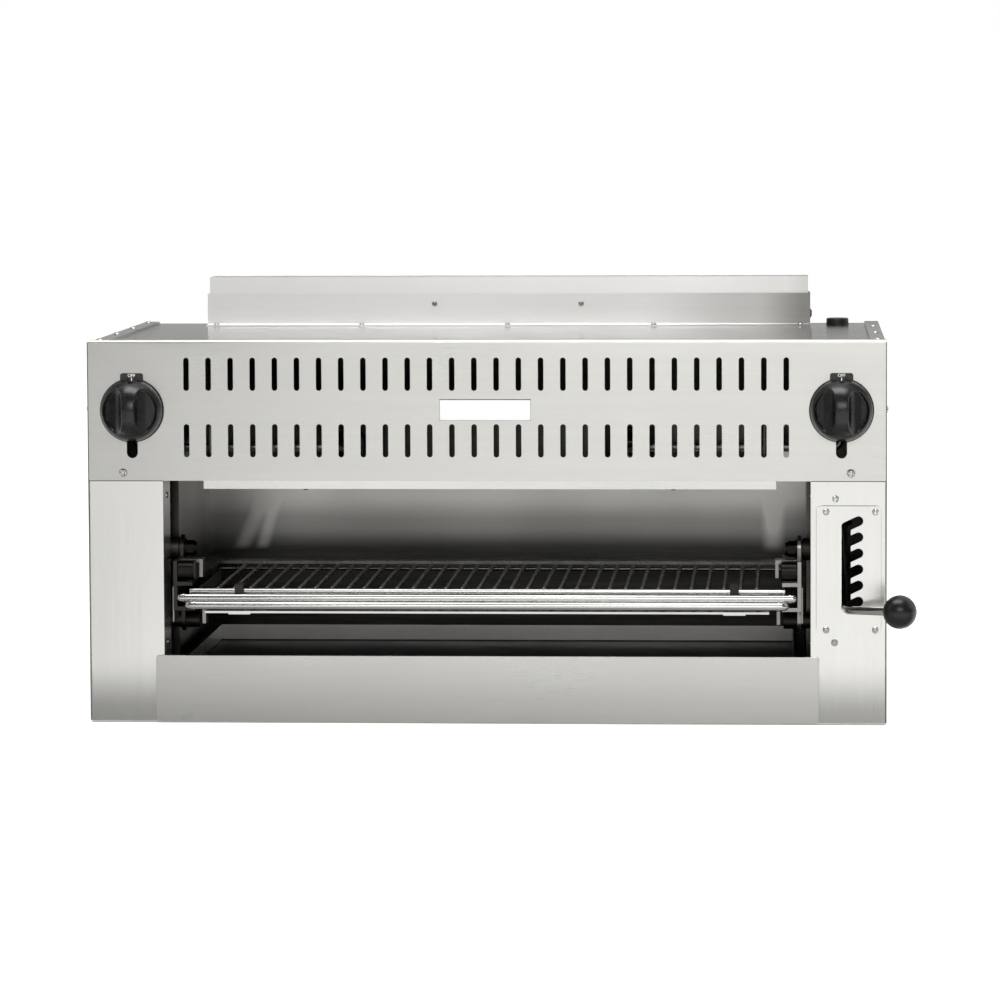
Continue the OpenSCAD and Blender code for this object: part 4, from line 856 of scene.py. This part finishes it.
def weld_bead(spot, size):
    """A flattened ball of weld metal where a rod sits on a cross rod."""
    half = np.linspace(0.35, math.pi - 0.35, 5)
    profile = [(size[0] * math.sin(a), -size[1] * math.cos(a)) for a in half]
    return turned(lathe(profile, 8), spot, UP)


rods += [weld_bead((x, REAR_D, 152.2), (3.3, 1.7)) for x in rod_x]
rods += [weld_bead((x, 6.5, 153.2), (3.4, 1.6)) for x in rod_x]
piece("grid_bars", rods, "grid", grid_chrome, ["grid_rods"])

# Both front bars have the solids' lengths; the upper one ends in a half ball past BAR_END
BAR_R, BAR_D, BAR_Z, BAR_END, BAR_SIDES = 4.75, -6.0, 145.0, 350.0, 40
cap = np.linspace(0, math.pi / 2, 9)[1:]
cap_x = BAR_R * np.sin(cap)
cap_r = np.clip(BAR_R * np.cos(cap), 0.05, None)
bar_x = np.concatenate(
    [-BAR_END - cap_x[::-1], [-BAR_END], np.linspace(-340, 340, 9), [BAR_END], BAR_END + cap_x]
)
bar_r = np.concatenate([cap_r[::-1], np.full(11, BAR_R), cap_r])
turn = np.linspace(0, 2 * math.pi, BAR_SIDES, endpoint=False)
upper = np.stack(
    [
        np.repeat(bar_x[:, None], BAR_SIDES, 1),
        BAR_D + bar_r[:, None] * np.cos(turn),
        BAR_Z + bar_r[:, None] * np.sin(turn),
    ],
    -1,
)
upper_bar = tube_shape(upper, [upper[0].mean(0), upper[-1].mean(0)])


# A collar stands RING_H proud of its bar
RING_H, RING_HALF, RING_FLAT = 0.9, 1.3, 0.9


def bar_ring(x, d, z):
    """A welded collar around a bar."""
    top = BAR_R + RING_H
    profile = [(BAR_R, -RING_HALF), (top, -RING_FLAT), (top, RING_FLAT), (BAR_R, RING_HALF)]
    return turned(lathe(profile, 32), (x, d, z), RIGHT)


UPPER_RING, LOWER_RING = 347.0, 334.0
rings = [bar_ring(x, BAR_D, BAR_Z) for x in (-UPPER_RING, UPPER_RING)]
piece("upper_front_bar", [upper_bar, *rings], "grid", chrome, ["grid_frame"])
SIDE_X, SIDE_Z = (338.6, 343.6), (134.0, 148.4)
CLIP_X, CLIP_D, CLIP_Z = (278.8, 288.8), (-2.4, -0.4), (129.6, 160.0)
clip = [
    block((CLIP_X[0], CLIP_D[0], CLIP_Z[0]), (CLIP_X[1], CLIP_D[1], CLIP_Z[1])),
    block((CLIP_X[0], CLIP_D[1], CLIP_Z[1] - 2), (CLIP_X[1], 13, CLIP_Z[1])),
]
side_bar = block((SIDE_X[0], BAR_D, SIDE_Z[0]), (SIDE_X[1], 264, SIDE_Z[1]))
piece("grid_side_bars", both([side_bar]), "grid", rail_steel, bevel=0.5)
piece("strip_clips", both(clip), "grid", dark_rail_steel, bevel=0.5)

HANDLE_D, HANDLE_Z, HANDLE_X, TURN_R = -11.1, 136.7, 341.6, 5.1
quarter = np.linspace(0, math.pi / 2, 10)
right_end = np.stack(
    [
        HANDLE_X - TURN_R + TURN_R * np.sin(quarter),
        HANDLE_D + TURN_R - TURN_R * np.cos(quarter),
        np.full(len(quarter), HANDLE_Z),
    ],
    -1,
)
left_end = (right_end * [-1, 1, 1])[::-1]
middle = [(x, HANDLE_D, HANDLE_Z) for x in np.linspace(-330, 330, 9)]
handle = sweep(np.vstack([left_end, middle, right_end]), BAR_R, UP, BAR_SIDES, 0)
rings = [bar_ring(x, HANDLE_D, HANDLE_Z) for x in (-LOWER_RING, LOWER_RING)]
piece("lower_front_bar", [handle, *rings], "grid", chrome, ["grid_handle"])

# ---- Balance springs ------------------------------------------------------------------


def coil(x, d, z, radius, wire, turns):
    """A helix about z: rings square to the wire, whose path is radius * (cos, sin) of the turn
    and climbs evenly. The hooks at its ends are straight bars made apart from it."""
    t = np.linspace(0, turns * 2 * math.pi, turns * 14)
    rise = z[0] + (z[1] - z[0]) * t / t[-1]
    path = np.stack([x + radius * np.cos(t), d + radius * np.sin(t), rise], -1)
    along = unit(np.gradient(path, axis=0))
    out = np.stack([np.cos(t), np.sin(t), np.zeros_like(t)], -1)
    over = np.cross(along, out)
    turn = np.linspace(0, 2 * math.pi, 7, endpoint=False)
    ring = out[:, None] * np.cos(turn)[None, :, None] + over[:, None] * np.sin(turn)[None, :, None]
    points, faces = tube_shape(path[:, None] + wire * ring, path[[0, -1]])
    return points, [face[::-1] for face in faces]


SPRING_X, SPRING_HOOK = 379.5, (225.2, 400.0)
spring_parts = []
for x in (-SPRING_X, SPRING_X):
    spring_parts.append(coil(x, 385, (245, 385), 8.5, 1.5, 30))
    for end, tip in ((245, SPRING_HOOK[0]), (385, SPRING_HOOK[1])):
        spring_parts.append(straight((x, 385, tip), (x, 385, end), 1.5, 10, 0.4))
        spring_parts.append(straight((x, 385, end), (x + 8.5, 385, end), 1.5, 10, 0.4))
springs = piece("balance_springs", spring_parts, "casing", spring_steel, ["lift_springs"])
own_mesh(springs)

# ---- Stage, light and camera --------------------------------------------------------------

# Strengths: the room as it is seen and reflected, the room as a light, and what the floor adds
WHITE_ROOM, ROOM_LIGHT, FLOOR_LIFT = 1.0, 0.55, 0.62


def backdrop_share(tree):
    """One for camera, glossy and transmission rays, zero for the rest."""
    rays = add(tree, "LightPath").outputs

    def either(first, second):
        return add(tree, "Math", {0: first, 1: second}, operation="MAXIMUM").outputs["Value"]

    camera_or_glossy = either(rays["Is Camera Ray"], rays["Is Glossy Ray"])
    return either(camera_or_glossy, rays["Is Transmission Ray"])


def white_floor():
    """A pale studio floor: matt white, lifted to full white for the camera so that only the
    object's soft shadow shows on it."""
    material = bpy.data.materials.new("studio floor, matt white")
    material.use_nodes = True
    tree = material.node_tree
    tree.nodes.clear()
    matt = add(tree, "BsdfDiffuse", {"Color": (0.8, 0.8, 0.8, 1)})
    lift = between(tree, backdrop_share(tree), 0.0, FLOOR_LIFT, 0, 1)
    glow = add(tree, "Emission", {"Color": (1, 1, 1, 1), "Strength": lift})
    total = add(tree, "AddShader")
    tree.links.new(matt.outputs[0], total.inputs[0])
    tree.links.new(glow.outputs[0], total.inputs[1])
    out = add(tree, "OutputMaterial")
    tree.links.new(total.outputs[0], out.inputs["Surface"])
    return material


def stage_sheet(name, corners, material, shown=True):
    """A flat four-cornered sheet of the stage."""
    mesh = bpy.data.meshes.new(name)
    mesh.from_pydata(corners, [], [[0, 1, 2, 3]])
    mesh.materials.append(material)
    sheet = bpy.data.objects.new(name, mesh)
    bpy.context.scene.collection.objects.link(sheet)
    if not shown:
        sheet.visible_camera = sheet.visible_diffuse = sheet.visible_shadow = False
    return sheet


def flat_sheet(name, x, y, z, material, shown=True):
    """A level sheet between two x and two y."""
    corners = [(x[0], y[0], z), (x[1], y[0], z), (x[1], y[1], z), (x[0], y[1], z)]
    return stage_sheet(name, corners, material, shown)


def facing_sheet(name, x, y, z, material):
    """An upright sheet across the room at y, between two x and two z, for glossy rays alone."""
    corners = [(x[0], y, z[0]), (x[1], y, z[0]), (x[1], y, z[1]), (x[0], y, z[1])]
    return stage_sheet(name, corners, material, False)


def side_sheet(name, x, y, z, material):
    """An upright sheet along the room at x, between two y and two z, for glossy rays alone."""
    corners = [(x, y[0], z[0]), (x, y[1], z[0]), (x, y[1], z[1]), (x, y[0], z[1])]
    return stage_sheet(name, corners, material, False)


FLOOR, BELOW = 40.0, -0.0005
flat_sheet("studio_floor", (-FLOOR, FLOOR), (-FLOOR, FLOOR), BELOW, white_floor())


def card_material(name, axis, stops, strength=1.0):
    """A card that glossy rays see: grey by distance along one axis, in metres. strength is one
    number, or two strengths and the two places in x between which it changes."""
    material = bpy.data.materials.new(name)
    material.use_nodes = True
    tree = material.node_tree
    tree.nodes.clear()
    parts = add(tree, "SeparateXYZ", {0: add(tree, "TexCoord").outputs["Object"]})
    reach = add(tree, "Math", {0: parts.outputs[axis], 1: -1.0}, operation="MULTIPLY")
    span = stops[-1][0]
    share = add(tree, "Math", {0: reach.outputs["Value"], 1: span}, operation="DIVIDE")
    ramp = add(tree, "ValToRGB", {"Fac": share.outputs["Value"]})
    while len(ramp.color_ramp.elements) < len(stops):
        ramp.color_ramp.elements.new(0.5)
    for element, (spot, grey) in zip(ramp.color_ramp.elements, stops):
        element.position, element.color = spot / span, (grey, grey, grey * 0.985, 1)
    if isinstance(strength, tuple):
        strength = between(tree, parts.outputs[0], *strength)
    glow = add(tree, "Emission", {"Color": ramp.outputs["Color"], "Strength": strength})
    tree.links.new(glow.outputs[0], add(tree, "OutputMaterial").inputs["Surface"])
    return material


# The cards on the floor before the unit, for glossy rays alone: they grade what the columns, the
# guide plate and the tray front reflect. Greys by metres before the front plane
FRONT_Y = HALF_DEPTH * MM
# The greys darken towards the unit: a painted shadow of the unit on the floor, seen only in
# reflections
NEAR_GREYS = [(0.15, 0.34), (0.34, 0.62), (0.47, 0.9), (0.50, 1.0)]
near_grey = card_material(
    "near card", 1, [(0, 0.30)] + [(FRONT_Y + away, grey) for away, grey in NEAR_GREYS],
    (0.93, 1.35, -0.5, 0.5),
)
near_y, left_y, right_y = -FRONT_Y - 0.004, -FRONT_Y - 0.49, -FRONT_Y - 0.36
stage_sheet(
    "near_card",
    [(-1.4, left_y, 0.001), (1.4, right_y, 0.001), (1.4, near_y, 0.001), (-1.4, near_y, 0.001)],
    near_grey, False,
)
left_grey = card_material("left floor card", 1, [(0, 0.76), (10, 0.78)])
right_grey = card_material("right floor card", 1, [(0, 0.80), (10, 0.82)], 1.42)
# Corners as (x, y); the cards lie just above the near card so that they don't share a plane
right_card = [(-0.9, -6), (4, -6), (4, -FRONT_Y - 0.36), (-0.50, -FRONT_Y - 0.48)]
left_card = [(-4, -6), (-0.9, -6), (-0.50, -FRONT_Y - 0.50), (-4, -FRONT_Y - 0.50)]
stage_sheet("right_floor_card", [(*spot, 0.0011) for spot in right_card], right_grey, False)
stage_sheet("left_floor_card", [(*spot, 0.0012) for spot in left_card], left_grey, False)
# Dark flags at both sides, a dark studio before and above the unit, and a grey backdrop
SIDE_GREY = card_material("side flag, dark", 1, [(0, 0.08), (10, 0.08)])
for name, flag_x in (("left_flag", -2.4), ("right_flag", 2.4)):
    side_sheet(name, flag_x, (-1.5, -0.05), (0, 0.7), SIDE_GREY)
STUDIO = card_material("studio wall, dark", 1, [(0, 0.16), (10, 0.16)])
WALL_X, WALL_Y, WALL_Z, WALL_END = 4.2, -7.0, 3.6, -1.2
FRONT_FOOT, SIDE_FOOT, CEILING_END = 0.55, 0.25, 0.4
facing_sheet("front_wall", (-WALL_X, WALL_X), WALL_Y, (FRONT_FOOT, WALL_Z), STUDIO)
side_sheet("left_wall", -WALL_X, (WALL_Y, WALL_END), (SIDE_FOOT, WALL_Z), STUDIO)
side_sheet("right_wall", WALL_X, (WALL_Y, WALL_END), (SIDE_FOOT, WALL_Z), STUDIO)
flat_sheet("ceiling", (-WALL_X, WALL_X), (WALL_Y, CEILING_END), WALL_Z, STUDIO, False)
BACKDROP = card_material("backdrop, grey", 1, [(0, 0.34), (10, 0.34)])
facing_sheet("backdrop_card", (-2.6, 2.6), 2.2, (0.5, 1.5), BACKDROP)

world = bpy.data.worlds.new("white room")
bpy.context.scene.world = world
world.use_nodes = True
sky = world.node_tree
sky.nodes["Background"].inputs["Color"].default_value = (1, 1, 1, 1)
room = between(sky, backdrop_share(sky), ROOM_LIGHT, WHITE_ROOM, 0, 1)
sky.links.new(room, sky.nodes["Background"].inputs["Strength"])


def soft_light(name, spot, target, size, power):
    """A large square area lamp turned towards its target."""
    lamp = bpy.data.lights.new(name, "AREA")
    lamp.shape, lamp.size, lamp.size_y, lamp.energy = "RECTANGLE", size[0], size[1], power
    holder = bpy.data.objects.new(name, lamp)
    bpy.context.scene.collection.objects.link(holder)
    holder.location = spot
    aim = Vector(target) - Vector(spot)
    holder.rotation_euler = aim.to_track_quat("-Z", "Y").to_euler()
    return holder


soft_light("key softbox", (0.5, -4.2, 2.0), (0.1, 0, 0.25), (2.4, 1.3), 38)
soft_light("left softbox", (-2.8, -2.4, 1.7), (0, 0, 0.2), (0.9, 1.6), 40).visible_glossy = False
soft_light("right softbox", (2.9, -2.2, 1.4), (0.2, 0, 0.2), (0.9, 1.6), 30).visible_glossy = False
soft_light("top softbox", (-0.1, -0.5, 3.0), (0, 0, 0), (2.4, 1.2), 50)

CAMERA_TURN = (86.0955, 0.2305, 3.3350)
camera = bpy.data.objects.new("camera", bpy.data.cameras.new("camera"))
bpy.context.scene.collection.objects.link(camera)
camera.data.lens, camera.data.sensor_width = 160.16, 36
camera.data.shift_x, camera.data.shift_y = -0.03, -0.10
camera.location = (0.347, -5.285, 0.717)
camera.rotation_euler = [math.radians(turn) for turn in CAMERA_TURN]
camera.data.clip_end = 200
bpy.context.scene.camera = camera
bpy.context.scene.view_settings.view_transform = "Standard"
